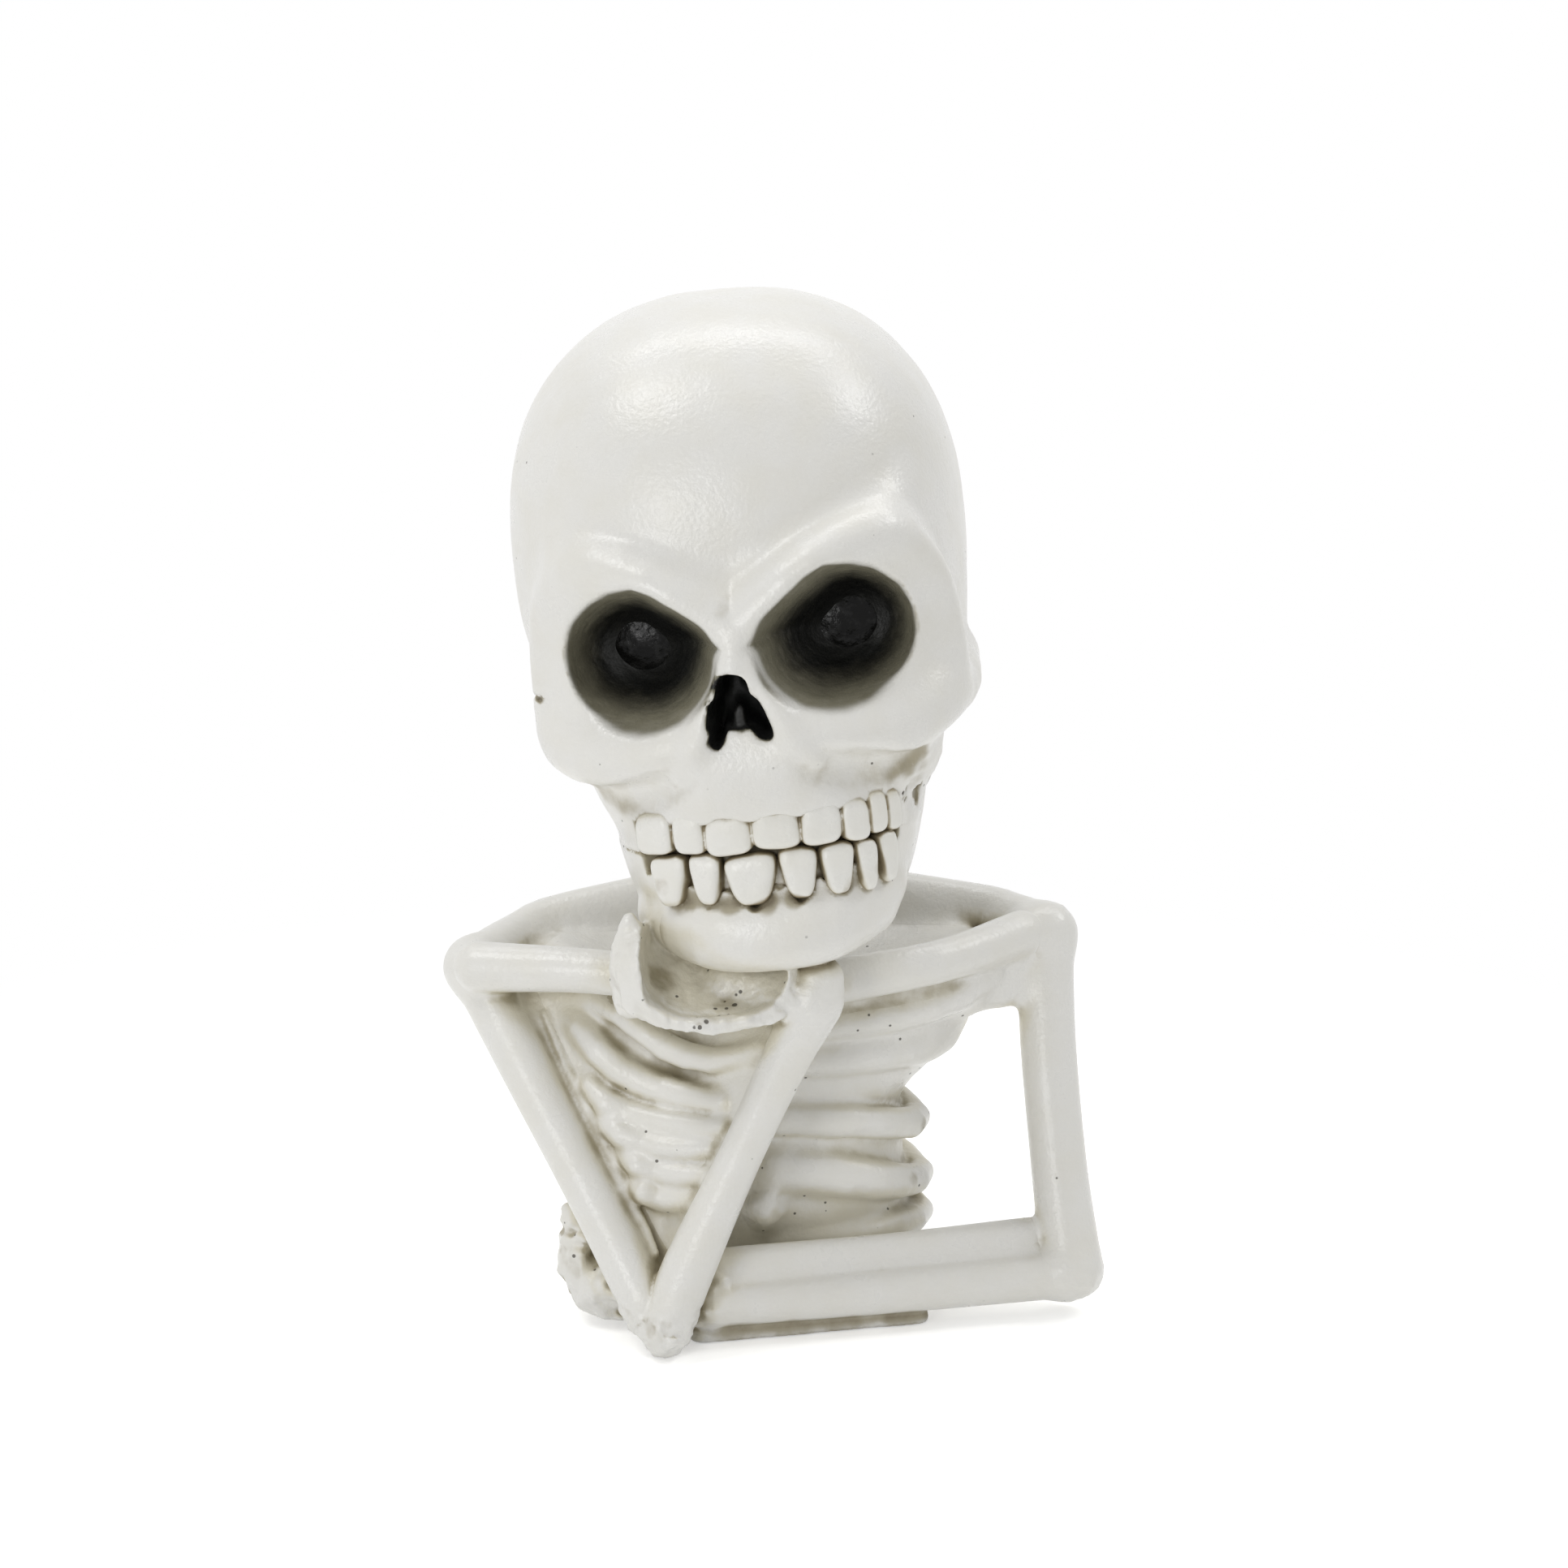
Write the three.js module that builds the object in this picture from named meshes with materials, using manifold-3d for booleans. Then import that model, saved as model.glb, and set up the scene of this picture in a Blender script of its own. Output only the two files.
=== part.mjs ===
// Skeleton bust figurine, cast in resin: a skull resting its chin on its right hand,
// a rib cage on a thin base plate, and the left forearm laid across the front.
// Millimetres, +Z up, the figure faces -Y, its own right side is at -X.
// The origin lies on the underside of the base plate, below the middle of the rib cage.

import * as THREE from "three";
import { mergeVertices } from "three/addons/utils/BufferGeometryUtils.js";
import Module from "manifold-3d";

const wasm = await Module();
wasm.setup();

const rad = THREE.MathUtils.degToRad;
const vec = (x, y, z) => new THREE.Vector3(x, y, z);

// Fits
const CLEARANCE = 0.3;
const HALF_CLEARANCE = CLEARANCE / 2;

// Base plate
const BASE_THICKNESS = 2.6;
const BASE_HALF_WIDTH = 26;
const BASE_HALF_DEPTH = 18;
const BASE_TONGUE_SHARE = 0.6;
const BASE_TONGUE_MARGIN = 0.6;
const BASE_SIDES = 40;

// Rib cage
const RIM_DROP = 3;
const RIM_DISH = 0.4;
const CHEST_HALF_WIDTH = 36;
const CHEST_HALF_DEPTH = 18;
const BREAST_SHARE = 0.859;
const BREAST_HALF_WIDTH = 31;
const WAIST_SHARE = 0.576;
const WAIST_HALF_WIDTH = 20.5;
const WAIST_HALF_DEPTH = 15;
const FOOT_HALF_WIDTH = 22;
const RIB_RELIEF_RIGHT = 1.8;
const RIB_RELIEF_LEFT = 3.4;
const RIB_RELIEF_TOP = 2.8;
const BREASTBONE_HALF_WIDTH = 3;
const RIB_REACH_RIGHT = 31;
const RIB_REACH_LEFT = 26;
const RIB_CAGE_SIDES = 40;
const RIB_CAGE_ROWS = 32;
const WEB_SETBACK = 3.5;
const ARM_WEB_THICKNESS = 4;
const STERNUM_WALL_THICKNESS = 6;

// Each rib on the right and on the left: the height of its crest at the front, the rise of
// the crest towards the flank, and its half width, as shares of the height of the rim
const RIBS = [
  { right: [0.786, 0.202, 0.061], left: [0.949, 0.065, 0.059] },
  { right: [0.608, 0.24, 0.079], left: [0.786, 0.073, 0.103] },
  { right: [0.523, 0.099, 0.065], left: [0.64, -0.141, 0.089] },
  { right: [0.402, 0.162, 0.065], left: [0.491, -0.172, 0.091] },
  { right: [0.325, 0.131, 0.061], left: [0.331, -0.17, 0.081] },
];

// Shoulder ring
const SHOULDER_SPAN = 86.5;
const SHOULDER_HEIGHT = 52.5;
const SHOULDER_TILT = 1;
const SHOULDER_TWIST = 5;
const SHOULDER_SETBACK = -2;
const SHOULDER_RADIUS = 5;
const YOKE_RADIUS = 3.4;
const YOKE_RISE = 4;
const YOKE_DEPTH = 21;
const CLAVICLE_RADIUS = 3.1;
const CLAVICLE_KNOB = 3.5;
const CLAVICLE_BOW = 2;
const CLAVICLE_INSET = 3;
const NOTCH_DEPTH = 20;
const NOTCH_GAP = 1.2;

// Arms
const HUMERUS_RADIUS = 4.2;
const HUMERUS_WAIST = 3.7;
const ELBOW_RADIUS = 4.6;
const FOREARM_RADIUS = 4.2;
const FOREARM_WAIST = 3.3;
const ULNA_RADIUS = 3.4;
const RADIUS_RADIUS = 2.3;
const RADIUS_SETBACK = 3.6;
const RADIUS_INSET = 5;
const RIGHT_ELBOW_X = -15.4;
const RIGHT_ELBOW_Y = -33;
const RIGHT_WRIST_X = 7.2;
const RIGHT_WRIST_Y = -29.5;
const RIGHT_WRIST_RISE = 1;
const LEFT_ELBOW_X = 46.2;
const LEFT_ELBOW_Y = -15;
const LEFT_WRIST_X = -7;
const LEFT_WRIST_Y = -27.5;

// Hands
const PALM_X = -8.3;
const PALM_Y = -28.5;
const PALM_RISE = 5.6;
const PALM_HALF = vec(13.5, 9, 9.5);
const PALM_HOLLOW_SHIFT = vec(0.6, -3, 2.6);
const PALM_HOLLOW_HALF = vec(10.2, 9, 8);
const PALM_HEEL_SHIFT = vec(4, 3.5, -3);
const FINGER_STUMP_RADIUS = 2.6;
const FINGER_STUMP_TIP = 1.4;
const FINGER_STUMP_FOOT = vec(-10.6, 0, -4);
const FINGER_STUMP_HEAD = vec(-11.8, 1, 6.6);
const FIST_RADII = [4, 4.2, 3.6, 3];
const FIST_PATH = [vec(-1, 1, 0.4), vec(-10, 5.5, 0.6), vec(-17.5, 9, 0.4), vec(-18.6, 12, 7.7)];

// Skull, in its own frame: the origin is inside the braincase, the face looks along -y
const SKULL_X = -1.9;
const SKULL_Y = 2.7;
const SKULL_RISE = 62.3;
const SKULL_PITCH = -4;
const SKULL_ROLL = -6.5;
const SKULL_YAW = -5;
const BRAINCASE_HALF = vec(33.4, 35, 36.4);
const BRAINCASE_CENTRE = vec(-2.1, 4, 0);
const BRAINCASE_POWER = 2.36;
const FACE_HALF_WIDTH = 21.5;
const FACE_HALF_DEPTH = 17;
const FACE_FRONT = 34;
const FACE_TOP = -12.5;
const FACE_POWER = 2.4;
const CHIN_HEIGHT = -58;
const CHEEK_RADIUS = 4.4;
const CHEEK_PATH = [vec(9, -30, -25), vec(20, -26.5, -25), vec(27.8, -13, -23), vec(28.2, -3, -20)];
const EYE_FRAME_HALF = vec(27.5, 16.5, 14.5);
const EYE_FRAME_CENTRE = vec(0, -17, -13);
const EYE_FRAME_POWER = 2.8;
const EYE_RING_RADII = [2, 2.7, 3, 2.6, 2.4, 3, 3.4, 3, 2.2];
const EYE_RING_PATH = [
  vec(1, -33.6, -8),
  vec(12, -33.2, 1),
  vec(22.5, -27, 3.6),
  vec(27.5, -21, -3),
  vec(28.8, -18.5, -12),
  vec(28, -19.5, -20.5),
  vec(22.5, -26, -24.8),
  vec(14, -31, -24.8),
  vec(8.5, -32.6, -23.4),
];
const MUZZLE_HALF = vec(16.6, 15.8, 9.6);
const MUZZLE_CENTRE = vec(0, -20.3, -29.6);
const MUZZLE_POWER = 2.3;
const CHEEK_GROOVE_RADII = [2.6, 3.6, 3.6, 3.4];
const CHEEK_GROOVE_PATH = [
  vec(10.5, -35.4, -29),
  vec(17, -29.6, -31.4),
  vec(23, -22.8, -32),
  vec(27, -14, -31.5),
];
const EYE_SPACING = 28;
const EYE_HEIGHT = -11;
const EYE_TOE_IN = 1;
const SOCKET_RADIUS = 11.2;
const SOCKET_FLOOR_RADIUS = 9.2;
const SOCKET_FLOOR = 14;
const SOCKET_MOUTH = 40;
const TEAR_RADIUS = 4.2;
const TEAR_INSET = 6;
const EYE_BEAD_RADIUS = 4.5;
const NOSE_HEIGHT = -19;
const NOSE_HALF = vec(2.8, 8, 5);
const NOSE_SPREAD = 1.7;
const NOSE_BRIDGE_RADIUS = 3;
const NOSE_WING_RADII = [1.2, 1.6, 1.9, 1.6];
const NOSE_WING_PATH = [
  vec(1.8, -35, -13),
  vec(4.2, -34.8, -18),
  vec(6.6, -33.8, -23.5),
  vec(9, -32.6, -27),
];
const MOUTH_HEIGHT = -40;
const RAMUS_RADIUS = 4.6;
const RAMUS_PATH = [vec(16, -14, -47), vec(20, -9, -38), vec(23, -5, -29)];
const CHIN_RADII = [4.2, 4.8, 4.9, 4.8, 4.2];
const CHIN_PATH = [
  vec(-14, -23, -51.5),
  vec(-8, -29, -53),
  vec(0, -30.6, -53.4),
  vec(8, -29, -53),
  vec(14, -23, -51.5),
];

// Teeth
const TEETH_PER_ROW = 10;
const TEETH_SWEEP = 68;
const TOOTH_PROUD = 0.4;
const TOOTH_DEPTH = 3.2;
const TOOTH_OVERLAP = 1.06;
const TOOTH_POWER = 3;
const UPPER_TOOTH_HEIGHT = 6;
const LOWER_TOOTH_HEIGHT = 8;
const TOOTH_BAND_DEPTH = 1;
const TOOTH_BAND_HEIGHT = 3;
const CHANNEL_SWEEP = 72;
const BAND_STEPS = 12;

// Neck and dowels
const NECK_RADIUS = 6.6;
const NECK_RING = 0.8;
const NECK_RINGS = 4;
const NECK_HEAD_DROP = 22.3;
const NECK_SOCKET_DEPTH = 3;
const NECK_SETBACK = 9;
const ROD_RADIUS = 1.6;
const ROD_BURIED = 9;
const DOWEL_RADIUS = 1;
const DOWEL_LENGTH = 8;

// Places that follow from the sizes above
const baseTop = BASE_THICKNESS + CLEARANCE;
const halfSpan = SHOULDER_SPAN / 2;
const rimHeight = SHOULDER_HEIGHT - RIM_DROP;
const breastHeight = BREAST_SHARE * rimHeight;
const waistHeight = WAIST_SHARE * rimHeight;
const rightShoulder = vec(-halfSpan, SHOULDER_SETBACK - SHOULDER_TWIST, SHOULDER_HEIGHT - SHOULDER_TILT);
const leftShoulder = vec(halfSpan, SHOULDER_SETBACK + SHOULDER_TWIST, SHOULDER_HEIGHT + SHOULDER_TILT);
const rightElbow = vec(RIGHT_ELBOW_X, RIGHT_ELBOW_Y, ELBOW_RADIUS);
const ulnaHeight = baseTop + ULNA_RADIUS;
const leftElbow = vec(LEFT_ELBOW_X, LEFT_ELBOW_Y, ulnaHeight);
const leftWrist = vec(LEFT_WRIST_X, LEFT_WRIST_Y, ulnaHeight);
const rightWrist = vec(RIGHT_WRIST_X, RIGHT_WRIST_Y, SHOULDER_HEIGHT + RIGHT_WRIST_RISE);
const palmCentre = vec(PALM_X, PALM_Y, SHOULDER_HEIGHT + PALM_RISE);
const skullCentre = vec(SKULL_X, SKULL_Y, SHOULDER_HEIGHT + SKULL_RISE);
const palmHeel = palmCentre.clone().add(PALM_HEEL_SHIFT);
const fistPath = FIST_PATH.map((shift) => leftWrist.clone().add(shift));

// Colours of the materials
function paint(color, roughness, metalness) {
  return new THREE.MeshStandardMaterial({ color, roughness, metalness });
}
const RESIN = paint(0xd9d6ce, 0.38, 0);
const ENAMEL = paint(0xdedbd3, 0.32, 0);
const BLACK = paint(0x0b0b09, 0.2, 0);
const STEEL = paint(0x9a9c9e, 0.35, 1);

// Turns a closed geometry into a solid that can be joined and cut.
function solid(geometry) {
  const bare = geometry.clone();
  for (const name of Object.keys(bare.attributes)) {
    if (name !== "position") {
      bare.deleteAttribute(name);
    }
  }
  const welded = mergeVertices(bare, 1e-4);
  const mesh = new wasm.Mesh({
    numProp: 3,
    vertProperties: new Float32Array(welded.attributes.position.array),
    triVerts: new Uint32Array(welded.index.array),
  });
  return new wasm.Manifold(mesh);
}

// Turns a solid back into a geometry.
function geometryOf(body) {
  const mesh = body.getMesh();
  const geometry = new THREE.BufferGeometry();
  geometry.setAttribute("position", new THREE.BufferAttribute(new Float32Array(mesh.vertProperties), 3));
  geometry.setIndex(new THREE.BufferAttribute(new Uint32Array(mesh.triVerts), 1));
  geometry.computeVertexNormals();
  return geometry;
}

function join(...geometries) {
  return geometries.map(solid).reduce((whole, body) => whole.add(body));
}

function cut(body, ...geometries) {
  return geometries.map(solid).reduce((rest, tool) => rest.subtract(tool), body);
}

// Reads a list of [place, value] stations with a smooth step between neighbours.
function along(stations, at) {
  for (let i = 1; i < stations.length; i += 1) {
    const [from, low] = stations[i - 1];
    const [to, high] = stations[i];
    if (at <= to) {
      return THREE.MathUtils.lerp(low, high, THREE.MathUtils.smoothstep(at, from, to));
    }
  }
  return stations.at(-1)[1];
}

// A round bar through the given points, with a radius at each point and rounded ends.
function limb(points, radii, { grow = 0, sides = 12, steps = 8, capRings = 2 } = {}) {
  const curve = new THREE.CatmullRomCurve3(points);
  const frames = curve.computeFrenetFrames(steps, false);
  const knots = [0];
  for (let i = 1; i < points.length; i += 1) {
    knots.push(knots[i - 1] + points[i].distanceTo(points[i - 1]));
  }
  const stations = radii.map((radius, i) => [knots[i] / knots.at(-1), radius + grow]);
  const rings = [];
  const addRing = (step, swing) => {
    const radius = along(stations, step / steps);
    const centre = curve.getPointAt(step / steps);
    centre.addScaledVector(frames.tangents[step], radius * Math.sin(swing));
    rings.push({ centre, radius: radius * Math.cos(swing), step });
  };
  const capTurn = Math.PI / 2 / (capRings + 1);
  for (let ring = capRings; ring > 0; ring -= 1) {
    addRing(0, -capTurn * ring);
  }
  for (let step = 0; step <= steps; step += 1) {
    addRing(step, 0);
  }
  for (let ring = 1; ring <= capRings; ring += 1) {
    addRing(steps, capTurn * ring);
  }
  const positions = [];
  for (const { centre, radius, step } of rings) {
    for (let side = 0; side < sides; side += 1) {
      const turn = (2 * Math.PI * side) / sides;
      const spoke = centre.clone();
      spoke.addScaledVector(frames.normals[step], radius * Math.cos(turn));
      spoke.addScaledVector(frames.binormals[step], radius * Math.sin(turn));
      positions.push(...spoke.toArray());
    }
  }
  const tail = curve.getPointAt(0).addScaledVector(frames.tangents[0], -stations[0][1]);
  const head = curve.getPointAt(1).addScaledVector(frames.tangents[steps], stations.at(-1)[1]);
  const tailIndex = positions.length / 3;
  positions.push(...tail.toArray(), ...head.toArray());
  const index = [];
  const lastRing = (rings.length - 1) * sides;
  for (let side = 0; side < sides; side += 1) {
    const next = (side + 1) % sides;
    for (let ring = 0; ring < lastRing; ring += sides) {
      const far = ring + sides;
      index.push(ring + side, ring + next, far + side);
      index.push(ring + next, far + next, far + side);
    }
    index.push(tailIndex, next, side);
    index.push(tailIndex + 1, lastRing + side, lastRing + next);
  }
  const geometry = new THREE.BufferGeometry();
  geometry.setAttribute("position", new THREE.Float32BufferAttribute(positions, 3));
  geometry.setIndex(index);
  return geometry;
}

// A rounded block: an ellipsoid whose sides grow flatter as the power rises.
function pebble(half, centre, { power = 2, width = 16, height = 12 } = {}) {
  const geometry = new THREE.SphereGeometry(1, width, height);
  const place = geometry.attributes.position;
  const point = new THREE.Vector3();
  for (let i = 0; i < place.count; i += 1) {
    point.fromBufferAttribute(place, i).normalize();
    const size = point.toArray().reduce((sum, part) => sum + Math.abs(part) ** power, 0);
    point.multiplyScalar(size ** (-1 / power)).multiply(half).add(centre);
    place.setXYZ(i, point.x, point.y, point.z);
  }
  return geometry;
}

// A plate between four corner points, thickened to both sides.
function slab(corners, thickness) {
  const across = corners[2].clone().sub(corners[0]);
  const other = corners[3].clone().sub(corners[1]);
  const normal = across.cross(other).normalize().multiplyScalar(thickness / 2);
  const front = corners.map((corner) => corner.clone().add(normal));
  const back = corners.map((corner) => corner.clone().sub(normal));
  const index = [0, 1, 2, 0, 2, 3, 4, 6, 5, 4, 7, 6];
  for (let i = 0; i < corners.length; i += 1) {
    const next = (i + 1) % corners.length;
    index.push(i, i + 4, next, next, i + 4, next + 4);
  }
  const geometry = new THREE.BufferGeometry();
  const positions = [...front, ...back].flatMap((corner) => corner.toArray());
  geometry.setAttribute("position", new THREE.Float32BufferAttribute(positions, 3));
  geometry.setIndex(index);
  return geometry;
}

// A straight pin between two points, and the hole it sits in.
function pin([from, to], radius, grow = 0) {
  const length = from.distanceTo(to) + 2 * grow;
  const geometry = new THREE.CylinderGeometry(radius + grow / 2, radius + grow / 2, length, 14);
  const turn = new THREE.Quaternion();
  turn.setFromUnitVectors(vec(0, 1, 0), to.clone().sub(from).normalize());
  geometry.applyQuaternion(turn);
  const middle = from.clone().lerp(to, 0.5);
  geometry.translate(middle.x, middle.y, middle.z);
  return geometry;
}

const figurine = new THREE.Group();
figurine.name = "skeleton_bust";

function addPiece(parent, name, body, material) {
  const mesh = new THREE.Mesh(geometryOf(body), material);
  mesh.name = name;
  parent.add(mesh);
}

// Shoulder ring: the yoke behind, the two collar bones in front
const yokePath = [
  rightShoulder,
  vec(-0.86 * halfSpan, 0.2 * YOKE_DEPTH, SHOULDER_HEIGHT),
  vec(-0.68 * halfSpan, 0.55 * YOKE_DEPTH, SHOULDER_HEIGHT + 0.36 * YOKE_RISE),
  vec(0, YOKE_DEPTH, SHOULDER_HEIGHT + YOKE_RISE),
  vec(0.72 * halfSpan, 0.67 * YOKE_DEPTH, SHOULDER_HEIGHT + 0.6 * YOKE_RISE),
  vec(0.9 * halfSpan, 0.43 * YOKE_DEPTH, SHOULDER_HEIGHT + 0.4 * YOKE_RISE),
  leftShoulder,
];
const yokeRadii = yokePath.map((point, i) => (i % (yokePath.length - 1) ? YOKE_RADIUS : SHOULDER_RADIUS));
const shoulderYoke = (grow) => limb(yokePath, yokeRadii, { grow, sides: 10, steps: 26 });

const clavicle = (shoulder, side, grow) => limb(
  [
    vec(side * (NOTCH_GAP + CLAVICLE_KNOB), -NOTCH_DEPTH, SHOULDER_HEIGHT),
    vec(side * 0.58 * halfSpan, 0.4 * shoulder.y - 0.72 * NOTCH_DEPTH, SHOULDER_HEIGHT + CLAVICLE_BOW),
    shoulder.clone().add(vec(-side * CLAVICLE_INSET, -CLAVICLE_INSET, CLAVICLE_BOW)),
  ],
  [CLAVICLE_KNOB, CLAVICLE_RADIUS, CLAVICLE_KNOB],
  { grow, sides: 10, steps: 10 },
);
const rightClavicle = (grow) => clavicle(rightShoulder, -1, grow);
const leftClavicle = (grow) => clavicle(leftShoulder, 1, grow);

// Arms
const longBone = (from, to, ends, grow) => limb(
  [from, from.clone().lerp(to, 0.5), to],
  [ends[0], ends[1], ends[2]],
  { grow },
);
const humerusEnds = [HUMERUS_RADIUS, HUMERUS_WAIST, ELBOW_RADIUS];
const rightUpperArm = (grow) => longBone(rightShoulder, rightElbow, humerusEnds, grow);
const leftUpperArm = (grow) => longBone(leftShoulder, leftElbow, humerusEnds, grow);
const forearmEnds = [FOREARM_RADIUS, FOREARM_WAIST, FOREARM_RADIUS];
const rightForearm = (grow) => longBone(rightElbow, rightWrist, forearmEnds, grow);
const ulnaEnds = [ULNA_RADIUS, ULNA_RADIUS, ULNA_RADIUS];
const leftUlna = (grow) => longBone(leftElbow, leftWrist, ulnaEnds, grow);
const boneSpacing = ULNA_RADIUS + RADIUS_RADIUS + CLEARANCE;
const ulnaAxis = leftWrist.clone().sub(leftElbow).normalize();
const radiusLift = vec(ulnaAxis.y, -ulnaAxis.x, 0).multiplyScalar(RADIUS_SETBACK);
radiusLift.z = Math.sqrt(boneSpacing ** 2 - RADIUS_SETBACK ** 2);
const radiusStart = leftElbow.clone().addScaledVector(ulnaAxis, RADIUS_INSET).add(radiusLift);
const radiusEnd = leftWrist.clone().addScaledVector(ulnaAxis, -RADIUS_INSET).add(radiusLift);
const radiusEnds = [RADIUS_RADIUS, RADIUS_RADIUS, RADIUS_RADIUS];
const leftRadius = (grow) => longBone(radiusStart, radiusEnd, radiusEnds, grow);
const leftHand = (grow) => limb(
  fistPath,
  FIST_RADII,
  { grow, steps: 10 },
);

// Base plate: an oval foot with a tongue under the left forearm
const basePlate = (grow) => {
  const height = BASE_THICKNESS + grow;
  const foot = new THREE.CylinderGeometry(1, 1, height, BASE_SIDES);
  foot.rotateX(Math.PI / 2);
  foot.scale(BASE_HALF_WIDTH + grow, BASE_HALF_DEPTH + grow, 1);
  foot.translate(0, 0, height / 2);
  const reach = ULNA_RADIUS + BASE_TONGUE_MARGIN + grow;
  const far = leftWrist.clone().lerp(leftElbow, BASE_TONGUE_SHARE);
  const outline = new THREE.Shape([
    new THREE.Vector2(leftWrist.x - grow, leftWrist.y - reach),
    new THREE.Vector2(far.x + grow, far.y - reach),
    new THREE.Vector2(far.x + grow, 0),
    new THREE.Vector2(leftWrist.x - grow, 0),
  ]);
  const tongue = new THREE.ExtrudeGeometry(outline, { depth: height, bevelEnabled: false });
  return geometryOf(join(foot, tongue));
};

// Skull, in its own frame
const skull = new THREE.Group();
skull.name = "skull";
skull.position.copy(skullCentre);
skull.rotation.set(rad(SKULL_PITCH), rad(SKULL_ROLL), rad(SKULL_YAW), "ZYX");
skull.updateMatrix();
const onFigure = (geometry) => geometry.clone().applyMatrix4(skull.matrix);
const onSkull = (geometry) => geometry.clone().applyMatrix4(skull.matrix.clone().invert());
const bothSides = (make) => [make(-1), make(1)];
const sided = (path, side) => path.map((point) => vec(side * point.x, point.y, point.z));
const grown = (half, grow) => half.clone().addScalar(grow);

const braincase = (grow) => pebble(
  grown(BRAINCASE_HALF, grow),
  BRAINCASE_CENTRE,
  { power: BRAINCASE_POWER, width: 30, height: 20 },
);
const faceHalf = vec(FACE_HALF_WIDTH, FACE_HALF_DEPTH, (FACE_TOP - CHIN_HEIGHT) / 2);
const faceCentre = vec(0, FACE_HALF_DEPTH - FACE_FRONT, (FACE_TOP + CHIN_HEIGHT) / 2);
const faceBlock = (grow) => pebble(
  grown(faceHalf, grow),
  faceCentre,
  { power: FACE_POWER, width: 24, height: 18 },
);
const barSection = { sides: 8, steps: 8, capRings: 1 };
const eyeFrame = pebble(EYE_FRAME_HALF, EYE_FRAME_CENTRE, { power: EYE_FRAME_POWER, width: 24, height: 16 });
const eyeRing = (side) => limb(sided(EYE_RING_PATH, side), EYE_RING_RADII, { sides: 8, steps: 26 });
const muzzle = pebble(MUZZLE_HALF, MUZZLE_CENTRE, { power: MUZZLE_POWER, width: 20, height: 14 });
const cheekGroove = (side) => limb(sided(CHEEK_GROOVE_PATH, side), CHEEK_GROOVE_RADII, barSection);
const cheekbone = (side) => limb(sided(CHEEK_PATH, side), CHEEK_PATH.map(() => CHEEK_RADIUS), barSection);
const ramus = (side, grow) => limb(
  sided(RAMUS_PATH, side),
  RAMUS_PATH.map(() => RAMUS_RADIUS),
  { grow, sides: 10, steps: 6 },
);
const chin = (grow) => limb(CHIN_PATH, CHIN_RADII, { grow, sides: 10, steps: 10 });
const noseBridge = limb(
  [vec(0, EYE_RING_PATH[0].y, EYE_RING_PATH[0].z), vec(0, -FACE_FRONT, NOSE_HEIGHT + NOSE_HALF.z)],
  [NOSE_BRIDGE_RADIUS, NOSE_BRIDGE_RADIUS],
  { sides: 8, steps: 3 },
);
const noseWing = (side) => limb(sided(NOSE_WING_PATH, side), NOSE_WING_RADII, barSection);
const nostril = (side) => pebble(
  NOSE_HALF,
  vec(side * NOSE_SPREAD, -FACE_FRONT, NOSE_HEIGHT),
  { width: 10, height: 8 },
);
const eyeX = EYE_SPACING / 2;
const beadX = eyeX - EYE_TOE_IN;
const eyeSocket = (side) => limb(
  [
    vec(side * eyeX, -SOCKET_MOUTH, EYE_HEIGHT),
    vec(side * beadX, -SOCKET_FLOOR - SOCKET_FLOOR_RADIUS, EYE_HEIGHT),
  ],
  [SOCKET_RADIUS, SOCKET_FLOOR_RADIUS],
  { sides: 16, steps: 3, capRings: 3 },
);
const tearCorner = (side) => limb(
  [
    vec(side * (eyeX - TEAR_INSET), -SOCKET_MOUTH, EYE_HEIGHT),
    vec(side * (eyeX - TEAR_INSET / 2), SOCKET_FLOOR_RADIUS - FACE_FRONT, EYE_HEIGHT),
  ],
  [TEAR_RADIUS, TEAR_RADIUS],
  { sides: 10, steps: 2 },
);
const eyeBead = (side) => pebble(
  vec(EYE_BEAD_RADIUS, EYE_BEAD_RADIUS, EYE_BEAD_RADIUS),
  vec(side * beadX, -SOCKET_FLOOR - EYE_BEAD_RADIUS - CLEARANCE, EYE_HEIGHT),
  { width: 10, height: 8 },
);
const halfSpace = (bottom, top) => {
  const reach = 2 * (top - bottom);
  const geometry = new THREE.BoxGeometry(reach, reach, top - bottom);
  geometry.translate(0, 0, (top + bottom) / 2);
  return geometry;
};
const belowMouth = halfSpace(2 * CHIN_HEIGHT, MOUTH_HEIGHT + HALF_CLEARANCE);
const aboveMouth = halfSpace(MOUTH_HEIGHT - HALF_CLEARANCE, BRAINCASE_HALF.z);

// Tooth rows: crowns along an arch, on a band that sits in a channel of the jaw
const archPoint = (turn, inset) => {
  const size = Math.abs(Math.sin(turn)) ** FACE_POWER + Math.abs(Math.cos(turn)) ** FACE_POWER;
  const reach = size ** (-1 / FACE_POWER);
  return new THREE.Vector2(
    (FACE_HALF_WIDTH - inset) * reach * Math.sin(turn),
    faceCentre.y - (FACE_HALF_DEPTH - inset) * reach * Math.cos(turn),
  );
};
const archBand = (outer, inner, bottom, top, sweep) => {
  const turns = [];
  for (let i = 0; i <= BAND_STEPS; i += 1) {
    turns.push(rad(sweep) * ((2 * i) / BAND_STEPS - 1));
  }
  const outside = turns.map((turn) => archPoint(turn, outer));
  const inside = turns.map((turn) => archPoint(turn, inner)).reverse();
  const outline = new THREE.Shape([...outside, ...inside]);
  const band = new THREE.ExtrudeGeometry(outline, { depth: top - bottom, bevelEnabled: false });
  band.translate(0, 0, bottom);
  return band;
};
const bandBack = TOOTH_DEPTH + TOOTH_BAND_DEPTH;
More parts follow.
